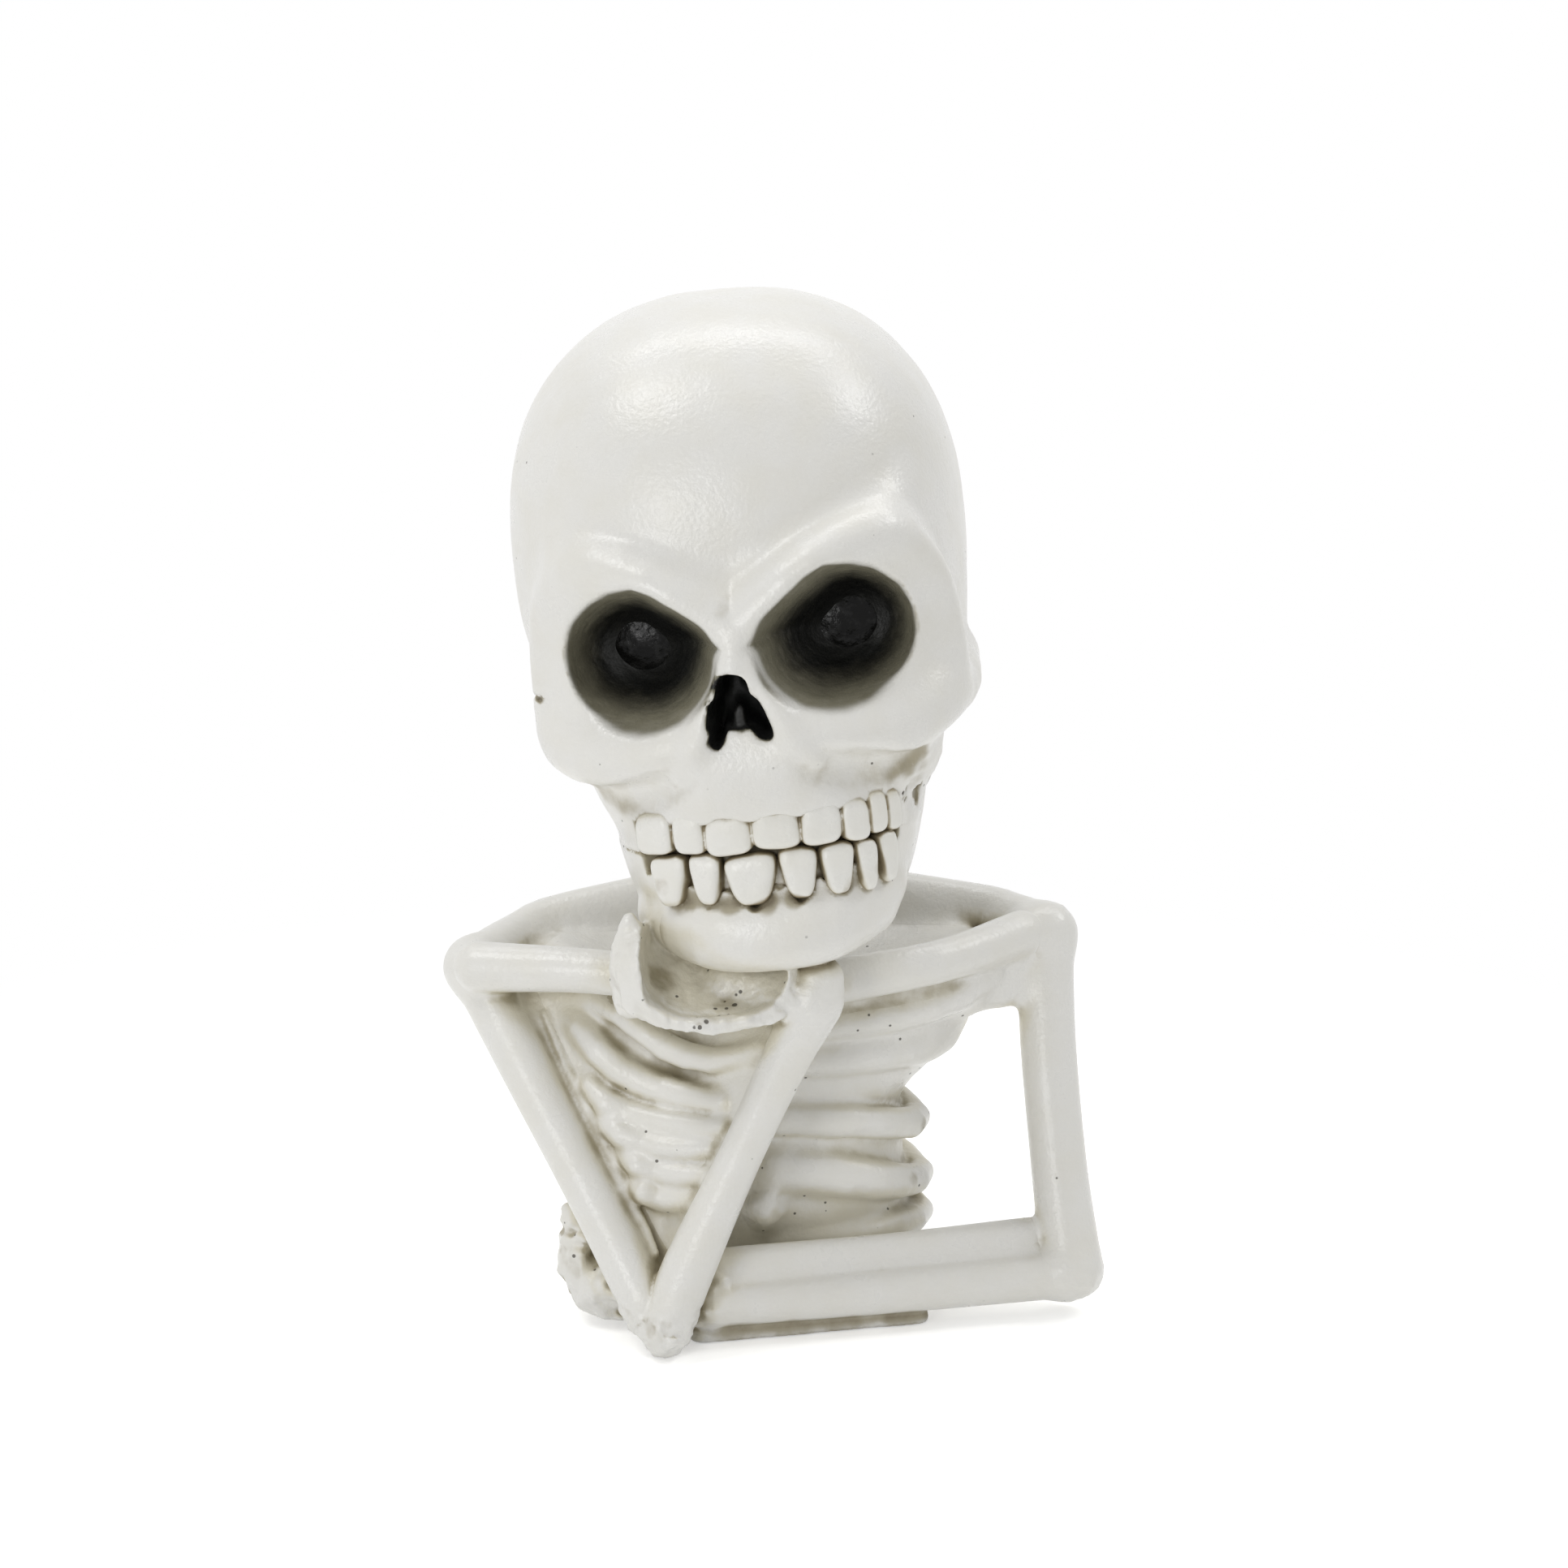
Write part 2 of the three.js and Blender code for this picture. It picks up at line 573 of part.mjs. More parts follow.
const toothRow = (bottom, top) => {
  const middle = (top + bottom) / 2;
  const pitch = (2 * rad(TEETH_SWEEP)) / TEETH_PER_ROW;
  const crowns = [];
  for (let i = 0; i < TEETH_PER_ROW; i += 1) {
    const turn = pitch * (i + 0.5) - rad(TEETH_SWEEP);
    const width = archPoint(turn - pitch / 2, 0).distanceTo(archPoint(turn + pitch / 2, 0));
    const half = vec((width / 2) * TOOTH_OVERLAP, TOOTH_DEPTH / 2, (top - bottom) / 2);
    const crown = pebble(half, vec(0, 0, 0), { power: TOOTH_POWER, width: 8, height: 6 });
    const at = archPoint(turn, TOOTH_DEPTH / 2 - TOOTH_PROUD);
    crown.rotateZ(turn);
    crown.translate(at.x, at.y, middle);
    crowns.push(crown);
  }
  const halfBand = TOOTH_BAND_HEIGHT / 2;
  const band = archBand(TOOTH_DEPTH / 2, bandBack, middle - halfBand, middle + halfBand, TEETH_SWEEP);
  return join(band, ...crowns);
};
const channelBack = bandBack + CLEARANCE;
const toothChannel = (bottom, top) => archBand(-TOOTH_DEPTH, channelBack, bottom, top, CHANNEL_SWEEP);
const upperTop = MOUTH_HEIGHT + UPPER_TOOTH_HEIGHT;
const lowerBottom = MOUTH_HEIGHT - LOWER_TOOTH_HEIGHT;

// Neck: a ringed column on a steel rod
const neckFoot = vec(0, NECK_SETBACK, rimHeight - NECK_SOCKET_DEPTH);
const neckHead = vec(skullCentre.x, skullCentre.y + NECK_SETBACK, skullCentre.z - NECK_HEAD_DROP);
const neckAxis = neckHead.clone().sub(neckFoot).normalize();
const neckLength = neckHead.distanceTo(neckFoot);
const neckSteps = NECK_RINGS * 4;
const neckStock = (grow) => {
  const profile = [new THREE.Vector2(0, -grow)];
  for (let i = 0; i <= neckSteps; i += 1) {
    const swell = NECK_RING * Math.cos((2 * Math.PI * NECK_RINGS * i) / neckSteps);
    const height = i ? (neckLength * i) / neckSteps : -grow;
    profile.push(new THREE.Vector2(NECK_RADIUS + grow - swell, height));
  }
  profile.push(new THREE.Vector2(0, neckLength));
  const stock = new THREE.LatheGeometry(profile, 16);
  stock.applyQuaternion(new THREE.Quaternion().setFromUnitVectors(vec(0, 1, 0), neckAxis));
  stock.translate(neckFoot.x, neckFoot.y, neckFoot.z);
  return stock;
};
const rodEnds = [
  neckFoot.clone().addScaledVector(neckAxis, -ROD_BURIED),
  neckHead.clone().addScaledVector(neckAxis, ROD_BURIED),
];
const rodHole = pin(rodEnds, ROD_RADIUS, CLEARANCE);

// Rib cage: a closed drum whose wall follows the chest and carries the ribs in relief
const chestWidths = [
  [baseTop, FOOT_HALF_WIDTH],
  [waistHeight, WAIST_HALF_WIDTH],
  [breastHeight, BREAST_HALF_WIDTH],
  [rimHeight, CHEST_HALF_WIDTH],
];
const chestDepths = [
  [waistHeight, WAIST_HALF_DEPTH],
  [rimHeight, CHEST_HALF_DEPTH],
];
const ribSwell = (side, flank, height) => {
  let swell = 0;
  for (const rib of RIBS) {
    const [front, rise, half] = rib[side];
    const off = Math.abs(height / rimHeight - front - rise * flank ** 2) / half;
    swell = Math.max(swell, Math.cos((Math.min(off, 1) * Math.PI) / 2));
  }
  return swell;
};
const ribRelief = (across, height) => {
  const onLeft = THREE.MathUtils.smoothstep(across, -BREASTBONE_HALF_WIDTH, BREASTBONE_HALF_WIDTH);
  const onTop = THREE.MathUtils.smoothstep(height, waistHeight, 0.5 * (waistHeight + rimHeight));
  const leftRelief = THREE.MathUtils.lerp(RIB_RELIEF_LEFT, RIB_RELIEF_TOP, onTop);
  const right = RIB_RELIEF_RIGHT * ribSwell("right", across / RIB_REACH_RIGHT, height);
  const left = leftRelief * ribSwell("left", across / RIB_REACH_LEFT, height);
  return THREE.MathUtils.lerp(right, left, onLeft);
};
const drum = new THREE.CylinderGeometry(1, 1, 1, RIB_CAGE_SIDES, RIB_CAGE_ROWS);
const drumPlace = drum.attributes.position;
for (let i = 0; i < drumPlace.count; i += 1) {
  const turn = Math.atan2(-drumPlace.getZ(i), drumPlace.getX(i));
  const spread = Math.hypot(drumPlace.getX(i), drumPlace.getZ(i));
  const level = drumPlace.getY(i) + 0.5;
  const height = THREE.MathUtils.lerp(baseTop, rimHeight, level);
  const width = along(chestWidths, height);
  const relief = ribRelief(Math.cos(turn) * width, height);
  drumPlace.setXYZ(
    i,
    Math.cos(turn) * spread * (width + relief),
    Math.sin(turn) * spread * (along(chestDepths, height) + relief),
    height + level * (1 - spread) * RIM_DISH,
  );
}
const webSetback = vec(0, WEB_SETBACK, 0);
const armWeb = slab(
  [
    rightShoulder.clone().lerp(rightElbow, 0.2).add(webSetback),
    rightShoulder.clone().lerp(rightElbow, 0.8).add(webSetback),
    vec(-0.5 * WAIST_HALF_WIDTH, -0.85 * WAIST_HALF_DEPTH, 0.5 * waistHeight),
    vec(-0.7 * WAIST_HALF_WIDTH, -0.8 * WAIST_HALF_DEPTH, 0.92 * rimHeight),
  ],
  ARM_WEB_THICKNESS,
);
const sternumWall = slab(
  [
    rightElbow.clone().lerp(rightWrist, 0.48),
    rightElbow.clone().lerp(rightWrist, 0.85),
    vec(0.2 * WAIST_HALF_WIDTH, -0.5 * WAIST_HALF_DEPTH, breastHeight),
    vec(-0.25 * WAIST_HALF_WIDTH, -0.5 * WAIST_HALF_DEPTH, 0.75 * waistHeight),
  ],
  STERNUM_WALL_THICKNESS,
);

// Right hand: an open palm under the chin, with the stump of a finger at its outer edge
const palm = cut(
  join(pebble(PALM_HALF, palmCentre)),
  pebble(PALM_HOLLOW_HALF, palmCentre.clone().add(PALM_HOLLOW_SHIFT)),
);
const fingerStump = limb(
  [palmCentre.clone().add(FINGER_STUMP_FOOT), palmCentre.clone().add(FINGER_STUMP_HEAD)],
  [FINGER_STUMP_RADIUS, FINGER_STUMP_TIP],
  { sides: 8, steps: 3 },
);
const heel = limb(
  [rightWrist, palmHeel],
  [FOREARM_RADIUS, FOREARM_RADIUS],
  { sides: 10, steps: 3 },
);

// Dowels across the arm joints, each half in one bone and half in the next
const dowelEnds = (from, to, seat) => {
  const axis = to.clone().sub(from).normalize();
  const half = DOWEL_LENGTH / 2;
  return [
    from.clone().addScaledVector(axis, seat - half),
    from.clone().addScaledVector(axis, seat + half),
  ];
};
const rightShoulderDowel = dowelEnds(rightShoulder, rightElbow, SHOULDER_RADIUS);
const leftShoulderDowel = dowelEnds(leftShoulder, leftElbow, SHOULDER_RADIUS);
const rightElbowDowel = dowelEnds(rightElbow, rightWrist, ELBOW_RADIUS);
const leftElbowDowel = dowelEnds(leftElbow, leftWrist, ELBOW_RADIUS);
const rightWristDowel = dowelEnds(rightWrist, palmHeel, FOREARM_RADIUS);
const leftWristDowel = dowelEnds(leftWrist, fistPath[1], ULNA_RADIUS);
const dowelHole = (ends) => pin(ends, DOWEL_RADIUS, CLEARANCE);

// Skull pieces
const cranium = cut(
  cut(join(faceBlock(0)), belowMouth).add(
    join(
      braincase(0),
      eyeFrame,
      ...bothSides(eyeRing),
      ...bothSides(cheekbone),
      muzzle,
      noseBridge,
      ...bothSides(noseWing),
    ),
  ),
  ...bothSides(cheekGroove),
  ...bothSides(eyeSocket),
  ...bothSides(tearCorner),
  ...bothSides(nostril),
  ...bothSides((side) => ramus(side, CLEARANCE)),
  toothChannel(MOUTH_HEIGHT - CLEARANCE, upperTop + CLEARANCE),
  onSkull(rodHole),
);
const lowerJaw = cut(
  cut(join(faceBlock(0)), aboveMouth).add(join(chin(0), ...bothSides((side) => ramus(side, 0)))),
  toothChannel(lowerBottom - CLEARANCE, MOUTH_HEIGHT + CLEARANCE),
);
addPiece(skull, "cranium", cranium, RESIN);
addPiece(skull, "lower_jaw", lowerJaw, RESIN);
addPiece(skull, "upper_teeth", toothRow(MOUTH_HEIGHT + HALF_CLEARANCE, upperTop), ENAMEL);
addPiece(skull, "lower_teeth", toothRow(lowerBottom, MOUTH_HEIGHT - HALF_CLEARANCE), ENAMEL);
addPiece(skull, "right_eye_bead", join(eyeBead(-1)), BLACK);
addPiece(skull, "left_eye_bead", join(eyeBead(1)), BLACK);
figurine.add(skull);

// Neck pieces
const neckColumn = cut(
  join(neckStock(0)),
  onFigure(braincase(CLEARANCE)),
  onFigure(faceBlock(CLEARANCE)),
  rodHole,
);
addPiece(figurine, "neck_column", neckColumn, RESIN);
addPiece(figurine, "neck_rod", join(pin(rodEnds, ROD_RADIUS)), STEEL);

// Trunk pieces
const ribCage = cut(
  join(drum, armWeb, sternumWall),
  shoulderYoke(CLEARANCE),
  rightClavicle(CLEARANCE),
  leftClavicle(CLEARANCE),
  rightUpperArm(CLEARANCE),
  rightForearm(CLEARANCE),
  leftUlna(CLEARANCE),
  leftRadius(CLEARANCE),
  leftHand(CLEARANCE),
  neckStock(CLEARANCE),
  rodHole,
);
const yoke = cut(join(shoulderYoke(0)), dowelHole(rightShoulderDowel), dowelHole(leftShoulderDowel));
const plate = cut(join(basePlate(0)), rightUpperArm(CLEARANCE), rightForearm(CLEARANCE));
addPiece(figurine, "rib_cage", ribCage, RESIN);
addPiece(figurine, "shoulder_yoke", yoke, RESIN);
addPiece(figurine, "right_clavicle", cut(join(rightClavicle(0)), shoulderYoke(CLEARANCE)), RESIN);
addPiece(figurine, "left_clavicle", cut(join(leftClavicle(0)), shoulderYoke(CLEARANCE)), RESIN);
addPiece(figurine, "base_plate", plate, RESIN);

// Right arm pieces
const rightArm = new THREE.Group();
rightArm.name = "right_arm";
const rightHumerus = cut(
  join(rightUpperArm(0)),
  shoulderYoke(CLEARANCE),
  rightClavicle(CLEARANCE),
  dowelHole(rightShoulderDowel),
  dowelHole(rightElbowDowel),
);
const rightLowerArm = cut(
  join(rightForearm(0)),
  rightUpperArm(CLEARANCE),
  onFigure(faceBlock(CLEARANCE)),
  onFigure(chin(CLEARANCE)),
  dowelHole(rightElbowDowel),
  dowelHole(rightWristDowel),
);
const rightHand = cut(
  palm.add(join(fingerStump, heel)),
  onFigure(faceBlock(CLEARANCE)),
  onFigure(chin(CLEARANCE)),
  rightForearm(CLEARANCE),
  rightClavicle(CLEARANCE),
  leftClavicle(CLEARANCE),
  dowelHole(rightWristDowel),
);
addPiece(rightArm, "right_upper_arm", rightHumerus, RESIN);
addPiece(rightArm, "right_forearm", rightLowerArm, RESIN);
addPiece(rightArm, "right_hand", rightHand, RESIN);
addPiece(rightArm, "right_shoulder_dowel", join(pin(rightShoulderDowel, DOWEL_RADIUS)), STEEL);
addPiece(rightArm, "right_elbow_dowel", join(pin(rightElbowDowel, DOWEL_RADIUS)), STEEL);
addPiece(rightArm, "right_wrist_dowel", join(pin(rightWristDowel, DOWEL_RADIUS)), STEEL);
figurine.add(rightArm);

// Left arm pieces
const leftArm = new THREE.Group();
leftArm.name = "left_arm";
const leftHumerus = cut(
  join(leftUpperArm(0)),
  shoulderYoke(CLEARANCE),
  leftClavicle(CLEARANCE),
  dowelHole(leftShoulderDowel),
  dowelHole(leftElbowDowel),
);
const ulna = cut(
  join(leftUlna(0)),
  leftUpperArm(CLEARANCE),
  dowelHole(leftElbowDowel),
  dowelHole(leftWristDowel),
);
const fist = cut(
  join(leftHand(0)),
  leftUlna(CLEARANCE),
  leftRadius(CLEARANCE),
  rightUpperArm(CLEARANCE),
  rightForearm(CLEARANCE),
  basePlate(CLEARANCE),
  dowelHole(leftWristDowel),
);
addPiece(leftArm, "left_upper_arm", leftHumerus, RESIN);
addPiece(leftArm, "left_ulna", ulna, RESIN);
addPiece(leftArm, "left_radius", cut(join(leftRadius(0)), leftUpperArm(CLEARANCE)), RESIN);
addPiece(leftArm, "left_hand", fist, RESIN);
addPiece(leftArm, "left_shoulder_dowel", join(pin(leftShoulderDowel, DOWEL_RADIUS)), STEEL);
addPiece(leftArm, "left_elbow_dowel", join(pin(leftElbowDowel, DOWEL_RADIUS)), STEEL);
addPiece(leftArm, "left_wrist_dowel", join(pin(leftWristDowel, DOWEL_RADIUS)), STEEL);
figurine.add(leftArm);

export default figurine;
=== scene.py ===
# %% [markdown]
# # A skeleton bust, sculpted in code
# The real object is a small cast-resin bust. A big skull leans its chin on its right hand,
# above a rib cage, and the left forearm lies across the front along the table.
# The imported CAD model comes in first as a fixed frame: it says where each piece sits, in
# metres. Every piece below is sculpted in millimetres in that same frame, and takes the
# place of one plain solid.

# %% Load the frame
import math
import time
from concurrent.futures import ThreadPoolExecutor

import bpy
import numpy as np
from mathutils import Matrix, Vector


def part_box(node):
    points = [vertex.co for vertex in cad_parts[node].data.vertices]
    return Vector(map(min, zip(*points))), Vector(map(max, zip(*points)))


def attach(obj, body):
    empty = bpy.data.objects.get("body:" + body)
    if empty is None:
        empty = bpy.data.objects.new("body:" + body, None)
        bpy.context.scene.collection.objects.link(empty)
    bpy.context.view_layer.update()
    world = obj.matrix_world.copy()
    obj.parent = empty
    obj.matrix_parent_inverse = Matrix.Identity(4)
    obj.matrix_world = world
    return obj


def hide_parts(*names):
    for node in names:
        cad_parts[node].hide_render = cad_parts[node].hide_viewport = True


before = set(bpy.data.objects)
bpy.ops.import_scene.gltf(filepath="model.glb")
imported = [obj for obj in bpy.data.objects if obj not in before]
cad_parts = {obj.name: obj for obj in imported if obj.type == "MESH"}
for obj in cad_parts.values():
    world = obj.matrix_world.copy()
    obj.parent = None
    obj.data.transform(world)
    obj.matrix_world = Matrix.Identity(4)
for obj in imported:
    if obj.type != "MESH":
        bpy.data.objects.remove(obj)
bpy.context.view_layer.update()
started = time.time()
print("solids in the frame:", len(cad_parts))

# %% [markdown]
# ## Clay that is a number
# Resin bones have soft fillets everywhere, which are slow to model with loose polygons.
# So each lump is a distance: a function that says how far a point is from its skin,
# negative inside. Two lumps join by taking the smaller distance, and a soft version of
# that join leaves a fillet, as a thumb does in wet clay.

# %% Joining and carving
def blend(one, other, soft):
    """Joins two lumps and leaves a fillet about `soft` millimetres wide."""
    share = np.clip(0.5 + 0.5 * (other - one) / soft, 0, 1)
    return other + (one - other) * share - soft * share * (1 - share)


def carve(lump, tool, soft):
    """Cuts the tool out of the lump and rounds the edge of the cut."""
    return -blend(-lump, tool, soft)


def trim(lump, limit, soft):
    """Keeps only what both distances call inside."""
    return -blend(-lump, -limit, soft)


def ease(low, high, value):
    """A smooth step from 0 at low to 1 at high."""
    share = np.clip((value - low) / (high - low), 0, 1)
    return share * share * (3 - 2 * share)


two_balls = np.array([1.0, 0.2], np.float32)
print("two skins 1.0 and 0.2 mm away join at", round(float(blend(*two_balls, 2.0)), 3))

# %% [markdown]
# ## Three lumps make every bone
# A pebble is an egg whose sides grow flatter as its power rises, a bar is a rod through
# knots that each have their own radius, and grit is smooth seeded noise for rough spots.

# %% Pebble, bar and grit
def pebble(points, centre, half, power=2.0):
    """Distance to an egg, measured to first order along its slope."""
    half = np.asarray(half, np.float32)
    spread = np.abs((points - np.asarray(centre, np.float32)) / half) + 1e-6
    size = (spread**power).sum(1)
    reach = size ** (1 / power)
    slope = spread ** (power - 1) / half * (reach / size)[:, None]
    return (reach - 1) / np.sqrt((slope * slope).sum(1))


def through(knots, steps):
    """Points of a smooth curve through the knots."""
    knots = np.array(knots, np.float32)
    knots = np.vstack([2 * knots[0] - knots[1], knots, 2 * knots[-1] - knots[-2]])
    path = []
    for a, b, c, d in zip(knots, knots[1:], knots[2:], knots[3:]):
        for t in np.linspace(0, 1, steps, endpoint=False):
            bend = (2 * a - 5 * b + 4 * c - d) * t**2 + (3 * b - a - 3 * c + d) * t**3
            path.append(b + 0.5 * ((c - a) * t + bend))
    return np.array([*path, knots[-2]], np.float32)


def bar(*knots, steps=4):
    """A round rod through knots of x, y, z and radius, as a distance function."""
    path = through(knots, steps)

    def distance(points):
        nearest = np.full(len(points), 1e3, np.float32)
        for start, end in zip(path[:-1], path[1:]):
            run = end[:3] - start[:3]
            off = points - start[:3]
            share = np.clip(off @ (run / (run @ run)), 0, 1)
            off -= share[:, None] * run
            radius = start[3] + (end[3] - start[3]) * share
            np.minimum(nearest, np.sqrt(np.einsum("ij,ij->i", off, off)) - radius, out=nearest)
        return nearest

    return distance


LATTICE = np.random.default_rng(11).random((32, 32, 32), dtype=np.float32) * 2 - 1


def grit(points, size):
    """Smooth noise from -1 to 1 with lumps of the given size."""
    place = points / size
    low = np.floor(place).astype(np.int32)
    part = place - low
    part = (part * part * (3 - 2 * part)).T
    (x0, y0, z0), (x1, y1, z1) = (low & 31).T, ((low + 1) & 31).T
    edge = lambda y, z: LATTICE[x0, y, z] * (1 - part[0]) + LATTICE[x1, y, z] * part[0]
    near = edge(y0, z0) * (1 - part[1]) + edge(y1, z0) * part[1]
    far = edge(y0, z1) * (1 - part[1]) + edge(y1, z1) * part[1]
    return near * (1 - part[2]) + far * part[2]


print("a bar through three knots has", len(through([(0, 0, 0, 1)] * 3, 4)), "stations")

# %% [markdown]
# ## The skull's own frame
# The skull is tilted and turned on the neck. It is sculpted upright, with the face along
# -y, and points of the figure are turned into that frame first. Most of it is the same on
# both sides, so one side is sculpted and the other reads its mirror, a little slanted,
# because the master's face is not quite even.

# %% Turn into the skull
SKULL_AT = np.array([-1.9, 2.7, 114.8], np.float32)
SKULL_PITCH, SKULL_ROLL, SKULL_YAW = (math.radians(a) for a in (-4.0, -6.5, -5.0))


def turn_about(axis, angle):
    turn = np.eye(3)
    i, j = (axis + 1) % 3, (axis + 2) % 3
    turn[i, i] = turn[j, j] = math.cos(angle)
    turn[j, i] = math.sin(angle)
    turn[i, j] = -math.sin(angle)
    return turn


SKULL_TURN = turn_about(2, SKULL_YAW) @ turn_about(1, SKULL_ROLL) @ turn_about(0, SKULL_PITCH)
SKULL_TURN = SKULL_TURN.astype(np.float32)
FACE_SLANT, FACE_LIFT, FACE_HALF = 0.04, 0.2, 20


def in_skull(points):
    return (points - SKULL_AT) @ SKULL_TURN


def mirrored(points):
    folded = points.copy()
    folded[:, 2] -= FACE_LIFT + FACE_SLANT * np.clip(folded[:, 0], -FACE_HALF, FACE_HALF)
    folded[:, 0] = np.abs(folded[:, 0])
    return folded


print("the chin lies at", (SKULL_TURN @ np.array([0, -30, -58]) + SKULL_AT).round(1), "mm")

# %% [markdown]
# ## Braincase, eye frames and cheekbones
# The braincase is a boxy egg. Each eye sits in a raised frame with a slanted brow, which
# gives the angry look, and the cheekbone runs back from its lower corner. The frame is
# four flat limits joined softly, so its edges catch the light as the real brow does.

# %% Skull masses
def face_front(x):
    """Depth of the face's front, which curves back towards the temples."""
    return 0.0125 * x * x - 34.2


def eye_frame(m, sweep):
    x, y, z = m.T
    brow = 0.928 * (z + 3.2) - 0.371 * (x - 1)
    rim = 0.983 * (x - 24.6) + 0.183 * (z - 5.5)
    cheek = sweep * np.clip(y + 28, 0, 12) - z - 26.6
    front = 0.85 * (face_front(x) - y)
    frame_lump = trim(trim(brow, rim, 5), trim(cheek, front, 5), 5)
    return trim(frame_lump, y - 2, 4)


eye_ring = bar(
    (1, -33.2, -8.0, 1.8), (12, -32.6, 0.0, 2.3), (22, -26.6, 1.8, 2.3), (27.2, -21, -4.0, 2.3),
    (28.8, -18.5, -12, 2.4), (28, -19.5, -20.5, 3.0), (22.5, -26, -24.8, 3.4), (14, -31, -24.8, 3.0),
    (8.5, -32.6, -23.4, 2.2), steps=3,
)
cheek_arch = bar((14, -29, -25, 3.4), (22, -26, -24.6, 4.2), (28, -14, -22.8, 4.4), (28.6, -3, -20.5, 3.4))


def upper_face(q):
    return pebble(q, (0, -17, -35.2), (21.5, 17, 22.8), 2.4)


def muzzle(q):
    return pebble(q, (0, -20.3, -29.6), (16.6, 15.8, 9.6), 2.3)


side_wall = bar((20.5, -17, -27, 4.0), (19.6, -17, -33, 3.8), (17.6, -17, -40, 3.6))
nose_bridge = bar((0, -34.4, -8.6, 1.3), (-0.3, -35.8, -12, 1.5), (-0.6, -35.6, -15.5, 2.6))
nose_wing = bar(
    (1.8, -35.2, -13, 1.3), (4.4, -35.2, -18, 1.7), (6.8, -34.6, -23.5, 2.0), (9.4, -33.2, -27.5, 1.8),
)
cheek_groove = bar((10.5, -36, -29, 2.4), (16.5, -31.6, -30.6, 2.6), (22.5, -26.6, -31, 2.2))
cheek_plate = bar((18.2, -25.6, -29.6, 4.0), (20.6, -17, -30.6, 4.3), (21, -10, -32, 4.0))

# %% [markdown]
# ## Sockets and nose
# The sockets are teardrops that narrow as they go in, with faint rings left by the tool
# that cut the master. The nose is a ragged upside-down heart.

# %% Openings in the face
def teardrop(m):
    """Flat distance to the outline of an eye socket, seen from the front."""
    x, z = m[:, 0] - 14.4, m[:, 2] + 11.0
    egg = np.sqrt((x / 1.13) ** 2 + z * z) - 10.0
    corner = np.abs(z - 0.9) + 0.75 * (-x - 11.9)
    under_brow = 0.822 * (m[:, 2] + 0.6) - 0.569 * (m[:, 0] - 13.5)
    return trim(blend(egg, np.maximum(corner, x + 2), 1.5), under_brow, 1.2)


def eye_depth(m):
    return m[:, 1] - face_front(m[:, 0])


def eye_socket(m):
    depth = eye_depth(m)
    rings = 0.04 * np.sin(4.4 * depth + 6 * grit(m, 6.0)) * ease(1, 4, depth) + 0.12 * grit(m, 2.2)
    narrowing = 0.3 * depth + 0.02 * np.clip(depth - 3, 0, 20) ** 2
    return trim(teardrop(m) + narrowing + rings, m[:, 1] + 17, 4)


def flat_rod(x, z, start, end):
    """Flat distance to a rod between two places of x, z and radius."""
    run = np.array(end[:2], np.float32) - np.array(start[:2], np.float32)
    off = np.stack([x - start[0], z - start[1]], 1).astype(np.float32)
    share = np.clip(off @ (run / (run @ run)), 0, 1)
    off = off - share[:, None] * run
    return np.sqrt((off * off).sum(1)) - (start[2] + (end[2] - start[2]) * share)


def nose_hole(q):
    x, y, z = q.T
    arch = flat_rod(x, z, (-0.9, -15.6, 2.2), (-0.7, -18.8, 3.3))
    legs = np.minimum(
        flat_rod(x, z, (-2.6, -18.8, 1.9), (-3.9, -23.2, 1.1)),
        flat_rod(x, z, (1.2, -18.8, 2.0), (3.1, -22.4, 1.3)),
    )
    outline = blend(arch, legs, 0.6) + 0.35 * grit(q, 1.3) + 0.1 * (y + 35)
    septum = flat_rod(x, z, (-0.6, -24, 1.3), (-0.5, -19.2, 0.5)) + 0.3 * grit(q, 1.0)
    front = np.maximum(outline, y + 33.4)
    return np.minimum(front, trim(np.maximum(outline, -septum), y + 26.5, 2))


# %% [markdown]
# ## The tooth arch
# Both rows follow one arch, the outline of the face at the mouth. A channel is cut into
# the jaws along it, with a scalloped gum line, and the crowns stand in that channel.

# %% Arch and channel
ARCH_WIDE, ARCH_DEEP, ARCH_MIDDLE, ARCH_POWER = 21.5, 17.0, -17.0, 2.4
MOUTH_Z = -40.0
UPPER_GUM_Z, LOWER_GUM_Z = -34.0, -47.0
UPPER_EDGES = np.radians([-50.8, -32.5, -19.7, -1.3, 17.6, 33.5, 45.1, 54, 63])
LOWER_EDGES = np.radians([-46.5, -28.3, -14.8, 7.6, 23.6, 38.1, 48.5, 60])
MOUTH_ENDS = np.radians([-51.5, 63.5])
GUM_RISE = 0.009


def arch_skin(q):
    """Flat distance to the arch, seen from above."""
    flat = np.stack([q[:, 0] / ARCH_WIDE, (q[:, 1] - ARCH_MIDDLE) / ARCH_DEEP], 1)
    size = (np.abs(flat) ** ARCH_POWER).sum(1) ** (1 / ARCH_POWER)
    return (size - 1) * ARCH_DEEP


def arch_turn(q):
    return np.arctan2(q[:, 0] / ARCH_WIDE, -(q[:, 1] - ARCH_MIDDLE) / ARCH_DEEP)


def gum_line(turn, edges, depth):
    """Scallops: the gum reaches further between two crowns than over their middle."""
    place = np.interp(turn, edges, np.arange(len(edges)))
    return depth * np.cos(2 * np.pi * place)


